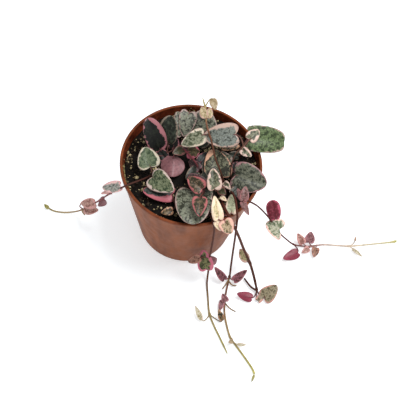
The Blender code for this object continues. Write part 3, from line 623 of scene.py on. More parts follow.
@dataclass(frozen=True)
class WaxyLeaf:
    """Succulent leaf: a waxy skin over fleshy green tissue, marbled silver where the skin lifts.

    To the eye it is a soft satin, blotched between its veins, with a ragged pale margin that
    blushes at its very edge.
    """

    patch_mm: float = 2.4  # width of one marbled blotch
    fleck_mm: float = 1.1  # width of the finest fleck that the picture can show
    fray_mm: float = 2.2  # length of a tooth of the ragged margin
    depth_mm: float = 0.8  # how deep light goes into the flesh
    roughness: float = 0.42
    specular: float = 0.35
    name: str = "waxy_leaf"

    def build(self) -> bpy.types.Material:
        """Make the material. It reads the blade's own colours, veins and distance to its edge.

        Returns:
            The material.
        """
        mat, place = bare_material(self.name)

        def own(name: str, output: str = "Fac") -> bpy.types.NodeSocket:
            """One of the mesh's attributes."""
            return add_node(mat, "Attribute", {"attribute_name": name}).outputs[output]

        patches = add_node(mat, "TexNoise", Vector=place, Scale=1 / (self.patch_mm * MM),
                           Detail=2.0, Roughness=0.55, Distortion=0.8).outputs["Fac"]
        flecks = add_node(mat, "TexNoise", Vector=place, Scale=1 / (self.fleck_mm * MM),
                          Detail=1.0, Roughness=0.5).outputs["Fac"]
        fray = add_node(mat, "TexNoise", Vector=place, Scale=1 / (self.fray_mm * MM),
                        Detail=2.0, Roughness=0.6).outputs["Fac"]
        # The silver network: blotches, stronger along the veins
        veined = add_node(mat, "Math", {"operation": "MULTIPLY_ADD"}, in0=own("vein"), in1=0.2,
                          in2=patches)
        share = add_node(mat, "Math", {"operation": "ADD"}, in0=veined.outputs[0],
                         in1=own("marbling"))
        marbled = add_node(mat, "MapRange", {"interpolation_type": "SMOOTHSTEP"},
                           Value=share.outputs[0], From_Min=0.95, From_Max=1.08)
        tissue = add_node(mat, "Mix", {"data_type": "RGBA"}, in0=marbled.outputs[0],
                          in6=own("face_tone", "Color"), in7=own("marble_tone", "Color"))
        specks = add_node(mat, "MapRange", {"interpolation_type": "SMOOTHSTEP"}, Value=flecks,
                          From_Min=0.40, From_Max=0.52, To_Min=0.55, To_Max=0.0)
        speckled = add_node(mat, "Mix", {"data_type": "RGBA"}, in0=specks.outputs[0],
                            in6=tissue.outputs[2], in7=own("face_tone", "Color"))
        # The margin: the blade's own band, frayed by noise, and redder at the very edge
        frayed = add_node(mat, "Math", {"operation": "MULTIPLY_ADD"}, in0=fray, in1=4.5,
                          in2=own("inset"))
        band = add_node(mat, "MapRange", {"interpolation_type": "SMOOTHSTEP"},
                        Value=frayed.outputs[0], From_Min=2.05, From_Max=2.65, To_Min=1.0,
                        To_Max=0.0)
        blushing = add_node(mat, "Math", {"operation": "MULTIPLY_ADD"}, in0=patches, in1=3.0,
                            in2=own("edge"))
        edge = add_node(mat, "MapRange", Value=blushing.outputs[0], From_Min=1.3, From_Max=2.3,
                        To_Min=0.6, To_Max=0.0)
        margin = add_node(mat, "Mix", {"data_type": "RGBA"}, in0=edge.outputs[0],
                          in6=own("margin_tone", "Color"), in7=own("under_tone", "Color"))
        upper = add_node(mat, "Mix", {"data_type": "RGBA"}, in0=band.outputs[0],
                         in6=speckled.outputs[2], in7=margin.outputs[2])
        # The lower face: clouded, and darker along the veins
        clouds = add_node(mat, "MapRange", Value=patches, From_Min=0.3, From_Max=0.7,
                          To_Min=0.72, To_Max=1.08)
        ribbed = add_node(mat, "Math", {"operation": "MULTIPLY_ADD"}, in0=own("vein"), in1=-0.3,
                          in2=clouds.outputs[0])
        lower = add_node(mat, "VectorMath", {"operation": "SCALE"},
                         in0=own("under_tone", "Color"), Scale=ribbed.outputs[0])
        colour = add_node(mat, "Mix", {"data_type": "RGBA"}, in0=own("underside"),
                          in6=upper.outputs[2], in7=lower.outputs[0])
        relief = add_node(mat, "Bump", Height=share.outputs[0], Distance=0.25 * MM, Strength=0.6)
        shader = add_node(mat, "BsdfPrincipled", Base_Color=colour.outputs[2],
                          Normal=relief.outputs[0])
        shader.inputs["Roughness"].default_value = self.roughness
        shader.inputs["Specular IOR Level"].default_value = self.specular
        shader.inputs["Subsurface Weight"].default_value = 0.1
        shader.inputs["Subsurface Radius"].default_value = (0.9, 0.6, 0.3)
        shader.inputs["Subsurface Scale"].default_value = self.depth_mm * MM
        add_node(mat, "OutputMaterial", Surface=shader.outputs[0])
        return mat


@dataclass(frozen=True)
class YoungStem:
    """Stem: thin smooth bark, brown-red where it is old and straw green at the growing tip."""

    grain_mm: float = 2.5  # width of the paler flecks of the bark
    roughness: float = 0.65
    specular: float = 0.12
    name: str = "young_stem"

    def build(self) -> bpy.types.Material:
        """Make the material. It reads the stem's own colour along its length.

        Returns:
            The material.
        """
        mat, place = bare_material(self.name)
        grain = add_node(mat, "TexNoise", Vector=place, Scale=1 / (self.grain_mm * MM),
                         Detail=4.0, Roughness=0.65).outputs["Fac"]
        shade = add_node(mat, "MapRange", Value=grain, From_Min=0.35, From_Max=0.65,
                         To_Min=0.7, To_Max=1.1)
        tone = add_node(mat, "Attribute", {"attribute_name": "bark_tone"})
        colour = add_node(mat, "VectorMath", {"operation": "SCALE"}, in0=tone.outputs["Color"],
                          Scale=shade.outputs[0])
        relief = add_node(mat, "Bump", Height=grain, Distance=0.1 * MM, Strength=0.4)
        shader = add_node(mat, "BsdfPrincipled", Base_Color=colour.outputs[0],
                          Normal=relief.outputs[0])
        shader.inputs["Roughness"].default_value = self.roughness
        shader.inputs["Specular IOR Level"].default_value = self.specular
        add_node(mat, "OutputMaterial", Surface=shader.outputs[0])
        return mat


@dataclass(frozen=True)
class MouldedPot:
    """Polypropylene, injection moulded and coloured through in terracotta.

    It has a satin sheen with faint flow streaks, duller where water has dried on it. Its inside is
    darker than its outside: the darkness is painted shade of the inner wall, and its mottling is
    stains of damp peat, with specks of peat. The top of its rim takes a blend of the two colours.
    """

    streak_mm: float = 9.0  # width of a flow streak
    stain_mm: float = 6.0  # width of a water stain
    grit_mm: float = 0.9  # width of the peat specks that cling to the inside
    outside: tuple[str, str] = ("693518", "8e4d25")
    # The inside colours are darker than the outside ones: painted shade of the inner wall.
    inside: tuple[str, str] = ("3a1409", "7c361c")
    peat_speck: str = "1d140f"
    roughness: tuple[float, float] = (0.45, 0.62)
    specular: float = 0.16
    name: str = "moulded_polypropylene"

    def build(self) -> bpy.types.Material:
        """Make the material. It reads how far inside the pot a point is.

        Returns:
            The material.
        """
        mat, place = bare_material(self.name)
        drawn = add_node(mat, "Mapping", Vector=place, Scale=(1.0, 1.0, 0.12))
        streaks = add_node(mat, "TexNoise", Vector=drawn.outputs[0],
                           Scale=1 / (self.streak_mm * MM), Detail=3.0,
                           Roughness=0.55).outputs["Fac"]
        stains = add_node(mat, "TexNoise", Vector=place, Scale=1 / (self.stain_mm * MM),
                          Detail=5.0, Roughness=0.7).outputs["Fac"]
        grit = add_node(mat, "TexNoise", Vector=place, Scale=1 / (self.grit_mm * MM),
                        Detail=1.0).outputs["Fac"]
        streaked = add_node(mat, "MapRange", Value=streaks, From_Min=0.3, From_Max=0.7)
        wall = add_node(mat, "Mix", {"data_type": "RGBA"}, in0=streaked.outputs[0],
                        in6=linear(self.outside[0]), in7=linear(self.outside[1]))
        stained = add_node(mat, "MapRange", Value=stains, From_Min=0.35, From_Max=0.65)
        # Painted shade: the inside's darker colours, mottled by the stain noise.
        shaded_stained_inside = add_node(mat, "Mix", {"data_type": "RGBA"}, in0=stained.outputs[0],
                       in6=linear(self.inside[0]), in7=linear(self.inside[1]))
        gritty = add_node(mat, "MapRange", Value=grit, From_Min=0.58, From_Max=0.66,
                          To_Max=0.7)
        inner = add_node(mat, "Mix", {"data_type": "RGBA"}, in0=gritty.outputs[0],
                         in6=shaded_stained_inside.outputs[2], in7=linear(self.peat_speck))
        within = add_node(mat, "Attribute", {"attribute_name": "inside"})
        body = add_node(mat, "Mix", {"data_type": "RGBA"}, in0=within.outputs["Fac"],
                        in6=wall.outputs[2], in7=inner.outputs[2])
        relief = add_node(mat, "Bump", Height=streaks, Distance=0.15 * MM, Strength=0.25)
        rough = add_node(mat, "MapRange", Value=stains, From_Min=0.3, From_Max=0.7,
                         To_Min=self.roughness[0], To_Max=self.roughness[1])
        shader = add_node(mat, "BsdfPrincipled", Base_Color=body.outputs[2],
                          Roughness=rough.outputs[0], Normal=relief.outputs[0])
        shader.inputs["Specular IOR Level"].default_value = self.specular
        add_node(mat, "OutputMaterial", Surface=shader.outputs[0])
        return mat


@dataclass(frozen=True)
class PottingMix:
    """Milled peat with bark crumbs and grains of pumice, moist, rough and without any shine."""

    name: str
    dark: str
    light: str
    speck_mm: float  # width of one speck
    roughness: float = 0.9
    specular: float = 0.2

    def build(self) -> bpy.types.Material:
        """Make the material: two tones in specks, times each grain's own tone.

        Returns:
            The material.
        """
        mat, place = bare_material(self.name)
        specks = add_node(mat, "TexNoise", Vector=place, Scale=1 / (self.speck_mm * MM),
                          Detail=4.0, Roughness=0.7).outputs["Fac"]
        share = add_node(mat, "MapRange", Value=specks, From_Min=0.35, From_Max=0.68)
        tones = add_node(mat, "Mix", {"data_type": "RGBA"}, in0=share.outputs[0],
                         in6=linear(self.dark), in7=linear(self.light))
        own = add_node(mat, "Attribute", {"attribute_name": "grain_tone"})
        colour = add_node(mat, "VectorMath", {"operation": "SCALE"}, in0=tones.outputs[2],
                          Scale=own.outputs["Fac"])
        relief = add_node(mat, "Bump", Height=specks, Distance=0.4 * MM, Strength=0.8)
        shader = add_node(mat, "BsdfPrincipled", Base_Color=colour.outputs[0],
                          Normal=relief.outputs[0])
        shader.inputs["Roughness"].default_value = self.roughness
        shader.inputs["Specular IOR Level"].default_value = self.specular
        add_node(mat, "OutputMaterial", Surface=shader.outputs[0])
        return mat


# The plant

def smooth_route(points: np.ndarray, at: np.ndarray) -> np.ndarray:
    """Points of a Catmull-Rom curve, whose tangent at a point is half the step past it.

    Args:
        points: The route's points.
        at: Indices into them, whole or between two.

    Returns:
        One point for each index.
    """
    padded = np.vstack([2 * points[0] - points[1], points, 2 * points[-1] - points[-2]])
    span = np.clip(np.floor(at).astype(int), 0, len(points) - 2)
    t = (at - span)[:, None]
    before, start, end, after = (padded[span + i] for i in range(4))
    return 0.5 * (2 * start + (end - before) * t
                  + (2 * before - 5 * start + 4 * end - after) * t**2
                  + (3 * start - before - 3 * end + after) * t**3)


def tube(path: np.ndarray, radii: np.ndarray, sides: int) -> tuple[np.ndarray, list[np.ndarray]]:
    """Carry a circle along a path, square to it, and close both ends with a pole.

    The circle's first spoke is one fixed direction with its part along the path taken away. The
    direction is the one, of a few, that stays furthest from the path's own.

    Args:
        path: Points along the middle.
        radii: The radius at each point.
        sides: Points in the circle.

    Returns:
        The tube's points and its faces.
    """
    heading = np.gradient(path, axis=0)
    heading /= np.linalg.norm(heading, axis=1, keepdims=True)
    tries = np.array([(1, 0, 0), (0, 1, 0), (0, 0, 1), (1, 1, 0), (1, -1, 0), (1, 0, 1),
                      (0, 1, 1), (1, 0, -1), (0, 1, -1)], dtype=float)
    tries /= np.linalg.norm(tries, axis=1, keepdims=True)
    spoke = tries[np.argmin(np.abs(tries @ heading.T).max(axis=1))]
    first = spoke - (heading @ spoke)[:, None] * heading
    first /= np.linalg.norm(first, axis=1, keepdims=True)
    second = np.cross(heading, first)
    turn = np.linspace(0, 2 * np.pi, sides, endpoint=False)
    rings = (path[:, None] + radii[:, None, None]
             * (np.cos(turn)[:, None] * first[:, None] + np.sin(turn)[:, None] * second[:, None]))
    points = np.vstack([path[:1], rings.reshape(-1, 3), path[-1:]])
    return points, wrapped_grid(len(path), sides)


@dataclass(frozen=True)
class Blade:
    """A heart-shaped blade worked out from its leaf. Depths are in millimetres."""

    leaf: Leaf
    number: int
    rows: int = 34
    columns: int = 40
    thickness: float = 1.05
    ripple: float = 0.5
    full_size: float = 9.0  # width from which a blade has its full thickness and margin
    midrib_width: float = 0.09  # share of half the blade's width
    midrib_depth: float = 0.22
    vein_step: float = 0.19  # share of the blade's length between two side veins
    vein_slant: float = 0.45  # how far a side vein runs on towards the tip, as the same share
    vein_depth: float = 0.35
    wander: tuple[tuple[float, ...], ...] = ((0.4, 7, 2.1, 3), (0.2, 19, 1.3, 5))

    def frame(self) -> tuple[np.ndarray, float, np.ndarray, np.ndarray, np.ndarray]:
        """Set the blade's own axes: along its chord, and up towards the viewer, turned by roll.

        Returns:
            The base, the chord's length, and the lengthwise, sideways and upper directions.
        """
        base, tip = SIGHT.at(*self.leaf.base), SIGHT.at(*self.leaf.tip)
        chord = float(np.linalg.norm(tip - base))
        along = (tip - base) / chord
        toward = -SIGHT.axes()[2]
        facing = toward - (toward @ along) * along
        facing /= np.linalg.norm(facing)
        roll = math.radians(self.leaf.roll)
        upper = math.cos(roll) * facing + math.sin(roll) * np.cross(facing, along)
        return base, chord, along, np.cross(upper, along), upper

    def surface(self, u: np.ndarray, v: np.ndarray, lift: np.ndarray) -> np.ndarray:
        """Bend flat places on the blade into space.

        The midrib is an arc that turns by droop. Each half leaves it at the fold's angle and
        turns by cup on the way to the margin. The margin is a heart: a half wave wide, drawn back
        to lobes beside the base, and drawn out to a point at the tip.

        Args:
            u: From 0 at the base to 1 at the tip.
            v: From -1 to 1 across.
            lift: Height over the middle surface, square to it.

        Returns:
            The points.
        """
        leaf = self.leaf
        base, chord, along, across, upper = self.frame()
        lobe, point = leaf.cut.value
        turn = math.radians(leaf.droop)
        radius = chord / (2 * math.sin(turn / 2))
        wave, reach = np.sin(np.pi * u), (1 - np.cos(np.pi * u)) / 2
        share = (reach - lobe * wave * (1 - reach) * np.abs(v) ** 1.6
                 + point * reach**10) / (1 + point)
        out = np.abs(v) * leaf.width / 2 * wave**leaf.full * (1 - leaf.taper * reach**2)
        angle = (share - 0.5) * turn
        fold, bend = math.radians(leaf.fold), math.radians(leaf.cup) / (leaf.width / 2)
        slope = fold + bend * out
        side = np.sign(v) * ((np.sin(slope) - math.sin(fold)) / bend - lift * np.sin(slope))
        rise = (math.cos(fold) - np.cos(slope)) / bend + lift * np.cos(slope)
        forward = radius * (np.sin(angle) + math.sin(turn / 2)) + rise * np.sin(angle)
        height = radius * (np.cos(angle) - math.cos(turn / 2)) + rise * np.cos(angle)
        return (base + forward[..., None] * along + side[..., None] * across
                + height[..., None] * upper)

    def markings(self, u: np.ndarray, v: np.ndarray, skin: np.ndarray, size: float,
                 veins: np.ndarray) -> dict[str, np.ndarray]:
        """Work out what the leaf material reads at each point.

        The rim's width goes with the blade's size, widens by blush and cap, and wanders as a sum
        of waves. A row of wander holds a wave's height as a share of the rim, its radians from
        base to tip, its shift on the two halves and its multiple of the blade's phase.

        Args:
            u: From 0 at the base to 1 at the tip.
            v: From -1 to 1 across.
            skin: From -1 on the lower face to 1 on the upper.
            size: From 0 to 1, where 1 is a blade of full size.
            veins: How close a vein is, from 0 to 1.

        Returns:
            One value or colour for each point, with the two ends added, under the name that the
            material reads.
        """
        leaf, tint = self.leaf, self.leaf.look.value
        half = leaf.width / 2 * np.sin(np.pi * u) ** leaf.full
        edge = (1 - np.abs(v)) * (half + 0.25)
        blushing = np.sign(v) == -np.sign(leaf.blush)
        waves = sum(height * np.sin(run * u + shift * np.sign(v) + multiple * self.phase())
                    for height, run, shift, multiple in self.wander)
        rim = tint.rim * (0.45 + 0.55 * size) * (1 + np.abs(leaf.blush) * blushing) * (1 + waves)
        rim = rim + leaf.cap * np.clip((u - 0.62) / 0.12, 0, 1) * (blushing | (not leaf.blush))
        values = {"marbling": np.full_like(u, tint.marbling), "inset": edge - rim, "edge": edge,
                  "underside": (skin < -0.05) * 1.0, "vein": veins}
        padded = {name: np.concatenate([grid[0, :1], grid.ravel(), grid[-1, :1]])
                  for name, grid in values.items()}
        tones = {f"{part}_tone": np.tile(linear(getattr(tint, part)), (u.size + 2, 1))
                 for part in ("face", "marble", "margin", "under")}
        return padded | tones

    def phase(self) -> float:
        """The shift of this blade's waves, so that no two blades ripple alike."""
        return self.number * 2.4

    def add_to(self, leaves: Surface) -> None:
        """Add the blade to a mesh: a flat tube, thick in the middle and rounded at its margin.

        A ring's angle w gives v as a root of its cosine and the skin's height as a root of its
        sine. Both skins sink along the midrib, and the upper one along the side veins. A side
        vein is a line where the place along the blade, less a share of the place across, is a
        whole number of steps. The margin ripples.

        Args:
            leaves: The mesh to add to.
        """
        u = (np.arange(self.rows) + 1) / (self.rows + 1)
        w = 2 * np.pi * np.arange(self.columns) / self.columns
        grid_u, grid_w = np.meshgrid(u, w, indexing="ij")
        v = np.sign(np.cos(grid_w)) * np.abs(np.cos(grid_w)) ** 0.85
        skin = np.sign(np.sin(grid_w)) * np.abs(np.sin(grid_w)) ** 0.6
        size = min(1.0, self.leaf.width / self.full_size)
        plump = np.minimum(1.0, 6 * np.minimum(grid_u, 1 - grid_u)) ** 0.5
        lift = skin * self.thickness / 2 * (0.55 + 0.45 * size) * plump
        midrib = np.exp(-(v / self.midrib_width) ** 2) * (1 - grid_u)
        ripple = (self.ripple * size * np.abs(v) ** 3
                  * np.sin(grid_u * 9 + np.sign(v) * 1.3 + self.phase()) * np.sin(np.pi * grid_u))
        side_vein = np.cos(np.pi * (grid_u - self.vein_slant * np.abs(v)) / self.vein_step) ** 8
        lift += ripple - midrib * self.midrib_depth * size * np.where(skin > 0, 1, -0.6)
        sunk = side_vein * np.abs(v) * (1 - np.abs(v)) * self.vein_depth * size
        lift -= np.where(skin > 0, sunk, 0)
        rings = self.surface(grid_u, v, lift).reshape(-1, 3)
        ends = self.surface(np.array([0.0, 1.0]), np.zeros(2), np.zeros(2))
        veins = np.maximum(midrib, 0.7 * side_vein)
        leaves.add(np.vstack([ends[:1], rings, ends[1:]]), wrapped_grid(self.rows, self.columns),
                   **self.markings(grid_u, v, skin, size, veins))


@dataclass(frozen=True)
class Plant:
    """All leafy stems. Each becomes one mesh of leaves and one of stem, stalks and shoots."""

    root_height: float = 69.0
    root_points: int = 7
    step: float = 1.2
    sides: int = 10
    stalk_radius: float = 0.45
    stalk_step: float = 0.8
    stalk_reach: float = 1.6  # how far a stalk runs on into its blade, at most
    stalk_bow: float = 0.4  # share of the stalk's length over which it is pulled to the midrib
    node_swelling: float = 0.28  # share by which a stem is thicker where a leaf springs
    bud_swelling: float = 0.8

    def bark(self, vine: Vine, at: np.ndarray) -> np.ndarray:
        """Blend the stem's colour between the vine's colours.

        Args:
            vine: The vine.
            at: Indices into its route.

        Returns:
            One colour for each index.
        """
        spots = np.array([spot for spot, _ in vine.colours])
        tones = np.array([linear(tone) for _, tone in vine.colours])
        return np.stack([np.interp(at, spots, tones[:, i]) for i in range(4)], axis=1)

    def stem_path(self, route: list[Place]) -> tuple[np.ndarray, np.ndarray]:
        """Put points about a step apart along a route.

        Args:
            route: Its places as the picture shows them.

        Returns:
            The points, and each one's index into the route.
        """
        points = np.array([SIGHT.at(*p) for p in route])
        lengths = np.linalg.norm(np.diff(points, axis=0), axis=1)
        counts = np.maximum(2, np.round(lengths / self.step)).astype(int)
        at = np.concatenate([i + np.arange(n) / n for i, n in enumerate(counts)]
                            + [[len(points) - 1.0]])
        return smooth_route(points, at), at

    def add_tube(self, path: np.ndarray, radii: np.ndarray, tones: np.ndarray,
                 stems: Surface) -> None:
        """Add a tube.

        Args:
            path: Points along its middle.
            radii: The radius at each point.
            tones: The colour at each point.
            stems: The mesh to add to.
        """
        points, faces = tube(path, radii, self.sides)
        rings = np.repeat(tones, self.sides, axis=0)
        stems.add(points, faces, bark_tone=np.vstack([tones[:1], rings, tones[-1:]]))

    def add_stem(self, vine: Vine, stems: Surface) -> None:
        """Add the stem itself, swollen where a leaf springs and at a bud, and thin at its tip.

        A swelling is a bell curve over the index into the route.

        Args:
            vine: The stem's vine.
            stems: The mesh to add to.
        """
        path, at = self.stem_path(vine.route)
        buried = np.linspace(self.root_height, path[0, 2], self.root_points + 1)[:-1]
        below = np.column_stack([np.full((self.root_points, 2), path[0, :2]), buried])
        radii = np.full(len(path), vine.radius)
        for leaf in vine.leaves:
            radii *= 1 + self.node_swelling * np.exp(-((at - leaf.at) / 0.12) ** 2)
        end = len(vine.route) - 1 - at
        if vine.bud:
            radii *= 1 + self.bud_swelling * np.exp(-((end - 0.55) / 0.4) ** 2)
        radii *= 0.55 + 0.45 * np.minimum(1, end / 0.5)
        at = np.concatenate([np.zeros(self.root_points), at])
        radii = np.concatenate([np.full(self.root_points, vine.radius), radii])
        self.add_tube(np.vstack([below, path]), radii, self.bark(vine, at), stems)

    def add_stalk(self, vine: Vine, leaf: Leaf, stems: Surface) -> None:
        """Add one leaf stalk: a bow that leaves the stem and runs into the blade's midrib.

        Args:
            vine: The stem that bears the leaf.
            leaf: The leaf.
            stems: The mesh to add to.
        """
        base, chord, along, _, upper = Blade(leaf, 0).frame()
        nodes = np.array([SIGHT.at(*p) for p in vine.route])
        start = smooth_route(nodes, np.array([leaf.at]))[0]
        turn = math.radians(leaf.droop) / 2
        midrib = math.cos(turn) * along + math.sin(turn) * upper
        length = np.linalg.norm(base - start)
        end = base + min(self.stalk_reach, 0.25 * chord) * midrib
        bend = base - self.stalk_bow * length * midrib
        count = max(6, int(length / self.stalk_step))
        t = np.linspace(0, 1, count)[:, None]
        path = (1 - t) ** 2 * start + 2 * t * (1 - t) * bend + t**2 * end
        size = 0.7 + 0.3 * min(1.0, leaf.width / Blade.full_size)
        radii = self.stalk_radius * size * (1 + 0.25 * (2 * t[:, 0] - 1) ** 2)
        bark = self.bark(vine, np.array([leaf.at]))[0]
        near = np.array(linear(leaf.look.value.under)) * 0.8
        self.add_tube(path, radii, bark + (near - bark) * t * 0.7, stems)

    def add_shoot(self, vine: Vine, route: list[Place], stems: Surface) -> None:
        """Add a bare side shoot that thins towards its end.

        Args:
            vine: The stem that it springs from.
            route: Its route.
            stems: The mesh to add to.
        """
        path, at = self.stem_path(route)
        middle = float(np.mean([leaf.at for leaf in vine.leaves]))
        radius = self.stalk_radius * vine.radius / Vine.radius
        self.add_tube(path, radius * (1.1 - 0.2 * at / at[-1]),
                      self.bark(vine, np.full(len(path), middle)), stems)

    def build(self, leaf_material: bpy.types.Material, bark_material: bpy.types.Material) -> None:
        """Build every vine in place of its CAD node.

        Args:
            leaf_material: The blades' material.
            bark_material: The stems' and stalks' material.
        """
        number = 0
        for vine in VINES:
            leaves, stems = Surface(), Surface()
            self.add_stem(vine, stems)
            for route in vine.shoots:
                self.add_shoot(vine, route, stems)
            for leaf in vine.leaves + vine.fill:
                self.add_stalk(vine, leaf, stems)
                Blade(leaf, number).add_to(leaves)
                number += 1
            for piece in (leaves.build(f"{vine.name}_blades", leaf_material),
                          stems.build(f"{vine.name}_stem", bark_material)):
                declare(piece, vine.name)
            LOG.info("%s: %d leaves", vine.name, len(vine.leaves + vine.fill))


# The pot and its soil

@dataclass(frozen=True)
class Pot:
    """The nursery pot: one spun wall with a plain lip, and drain holes in its floor."""

    height: float = 86.0
    top_radius: float = 50.0
    base_radius: float = 36.0
    wall: float = 1.6
    floor: float = 2.0
    lip_height: float = 3.2
    lip_step: float = 0.7
    lip_round: float = 0.6
    foot_round: float = 1.2
    cove_round: float = 2.0  # where the inside of the wall meets the floor
    hub: float = 12.0  # radius of the floor's innermost ring of points
    drains: int = 6
    drain_radius: float = 3.5
    drain_ring: float = 23.0
    drain_sides: int = 40
    sides: int = 182
    sharp: float = 40.0  # degrees between two faces from which their edge is sharp

    def wall_radius(self, height: float | np.ndarray) -> float | np.ndarray:
        """The outer radius of the plain wall at a height."""
        slope = ((self.top_radius - self.lip_step - self.base_radius)
                 / (self.height - self.lip_height))
        return self.base_radius + slope * height

    def inner_radius(self, height: float | np.ndarray) -> float | np.ndarray:
        """The inner radius of the plain wall at a height."""
        return self.wall_radius(height) - self.wall

    def profile(self) -> np.ndarray:
        """The wall's profile as (radius, height): up the outside, over the lip and down inside.

        The corners of the foot, the lip and the inside are quarter rounds, drawn as arcs of six
        points, and the long walls are cut into even steps.

        Returns:
            One row for each point.
        """
        def rounded(radius: float, height: float, size: float, start: float) -> np.ndarray:
            """A quarter round about a centre, from an angle in degrees, turning left."""
            turn = np.radians(start + np.linspace(0, 90, 6))
            return np.stack([radius + size * np.cos(turn), height + size * np.sin(turn)], axis=1)

        top, lip_foot = self.height, self.height - self.lip_height
        inner_top = self.top_radius - self.wall - 0.3
        heights = np.linspace(2.5, lip_foot, 14)
        outer = np.stack([self.wall_radius(heights), heights], axis=1)
        cove_top = self.floor + self.cove_round
        inner_heights = np.linspace(top - 1.2, cove_top + 0.5, 16)
        inner_foot = self.inner_radius(cove_top)
        inner = np.stack([np.interp(inner_heights, [cove_top, top - self.lip_round],
                                    [inner_foot, inner_top]), inner_heights], axis=1)
        foot = rounded(self.base_radius - 1.0, self.foot_round, self.foot_round, -90)
        cove = rounded(inner_foot - self.cove_round, cove_top, self.cove_round, -90)[::-1]
        under = np.array([(self.hub, 0.0), (self.base_radius - 6.0, 0.0)])
        lip = [(self.top_radius - 0.2, lip_foot + 0.15), (self.top_radius, lip_foot + 0.5)]
        return np.vstack([under, foot, outer, lip,
                          rounded(self.top_radius - self.lip_round, top - self.lip_round,
                                  self.lip_round, 0),
                          rounded(inner_top + 0.5, top - 0.5, 0.5, 90),
                          inner, cove, [(inner_foot - 8.0, self.floor), (self.hub, self.floor)]])

    def spin(self, material: bpy.types.Material) -> bpy.types.Object:
        """Turn the profile about the pot's axis, with a pole under the floor and one on it.

        Args:
            material: The pot's plastic.

        Returns:
            The closed pot.
        """
        outline = self.profile()
        turn = np.linspace(0, 2 * np.pi, self.sides, endpoint=False)
        rings = np.stack([outline[:, :1] * np.cos(turn), outline[:, :1] * np.sin(turn),
                          np.repeat(outline[:, 1:], self.sides, axis=1)], axis=-1)
        shell = Surface()
        shell.add(np.vstack([[(0, 0, 0)], rings.reshape(-1, 3), [(0, 0, self.floor)]]),
                  wrapped_grid(len(outline), self.sides))
        return shell.build("nursery_pot", material)

    def drill(self, pot: bpy.types.Object, material: bpy.types.Material) -> None:
        """Cut the drain holes: round drills on a ring, half a step off the first spoke.

        Args:
            pot: The closed pot, which gets a new mesh.
            material: The plastic, for the holes' walls.
        """
        drills = Surface()
        for angle in 2 * np.pi * (np.arange(self.drains) + 0.5) / self.drains:
            centre = self.drain_ring * np.array([math.cos(angle), math.sin(angle)])
            path = np.array([(*centre, -1.0), (*centre, 1.0), (*centre, self.floor + 1.0)])
            drills.add(*tube(path, np.full(3, self.drain_radius), self.drain_sides))
        drill = drills.build("drain_drills", material)
        cut = pot.modifiers.new("drains", "BOOLEAN")
        cut.object = drill
        cut.operation = "DIFFERENCE"
        cut.solver = "EXACT"
        bpy.context.view_layer.update()
        drilled = pot.evaluated_get(bpy.context.evaluated_depsgraph_get())
        mesh = bpy.data.meshes.new_from_object(drilled)
        pot.modifiers.clear()
        pot.data = mesh
        bpy.data.objects.remove(drill, do_unlink=True)

    def mark_inside(self, mesh: bpy.types.Mesh) -> None:
        """Write how far inside the pot each point is: 1 inside, 0 outside, and between on the lip.

        Args:
            mesh: The drilled pot's mesh.
        """
        places = np.empty(3 * len(mesh.vertices))
        mesh.vertices.foreach_get("co", places)
        x, y, z = places.reshape(-1, 3).T / MM
        depth = (self.wall_radius(z) - np.hypot(x, y)) / self.wall
        # A share of one gives the darker inside colours, painted shade of the inner wall; the lip
        # top gets a blend.
        within = np.where((z > self.floor - 0.5) & (depth > 0.7), 1.0, 0.0)
        within = np.where(z > self.height - 0.65, 0.45, within).astype(np.float32)
        mesh.attributes.new("inside", "FLOAT", "POINT").data.foreach_set("value", within)

    def build(self, material: bpy.types.Material) -> None:
        """Build the pot in place of its CAD node.

        Args:
            material: The pot's plastic.
        """
        pot = self.spin(material)
        self.drill(pot, material)
        self.mark_inside(pot.data)
        pot.data.set_sharp_from_angle(angle=math.radians(self.sharp))
        declare(pot, "pot")
        LOG.info("pot: %d faces", len(pot.data.polygons))


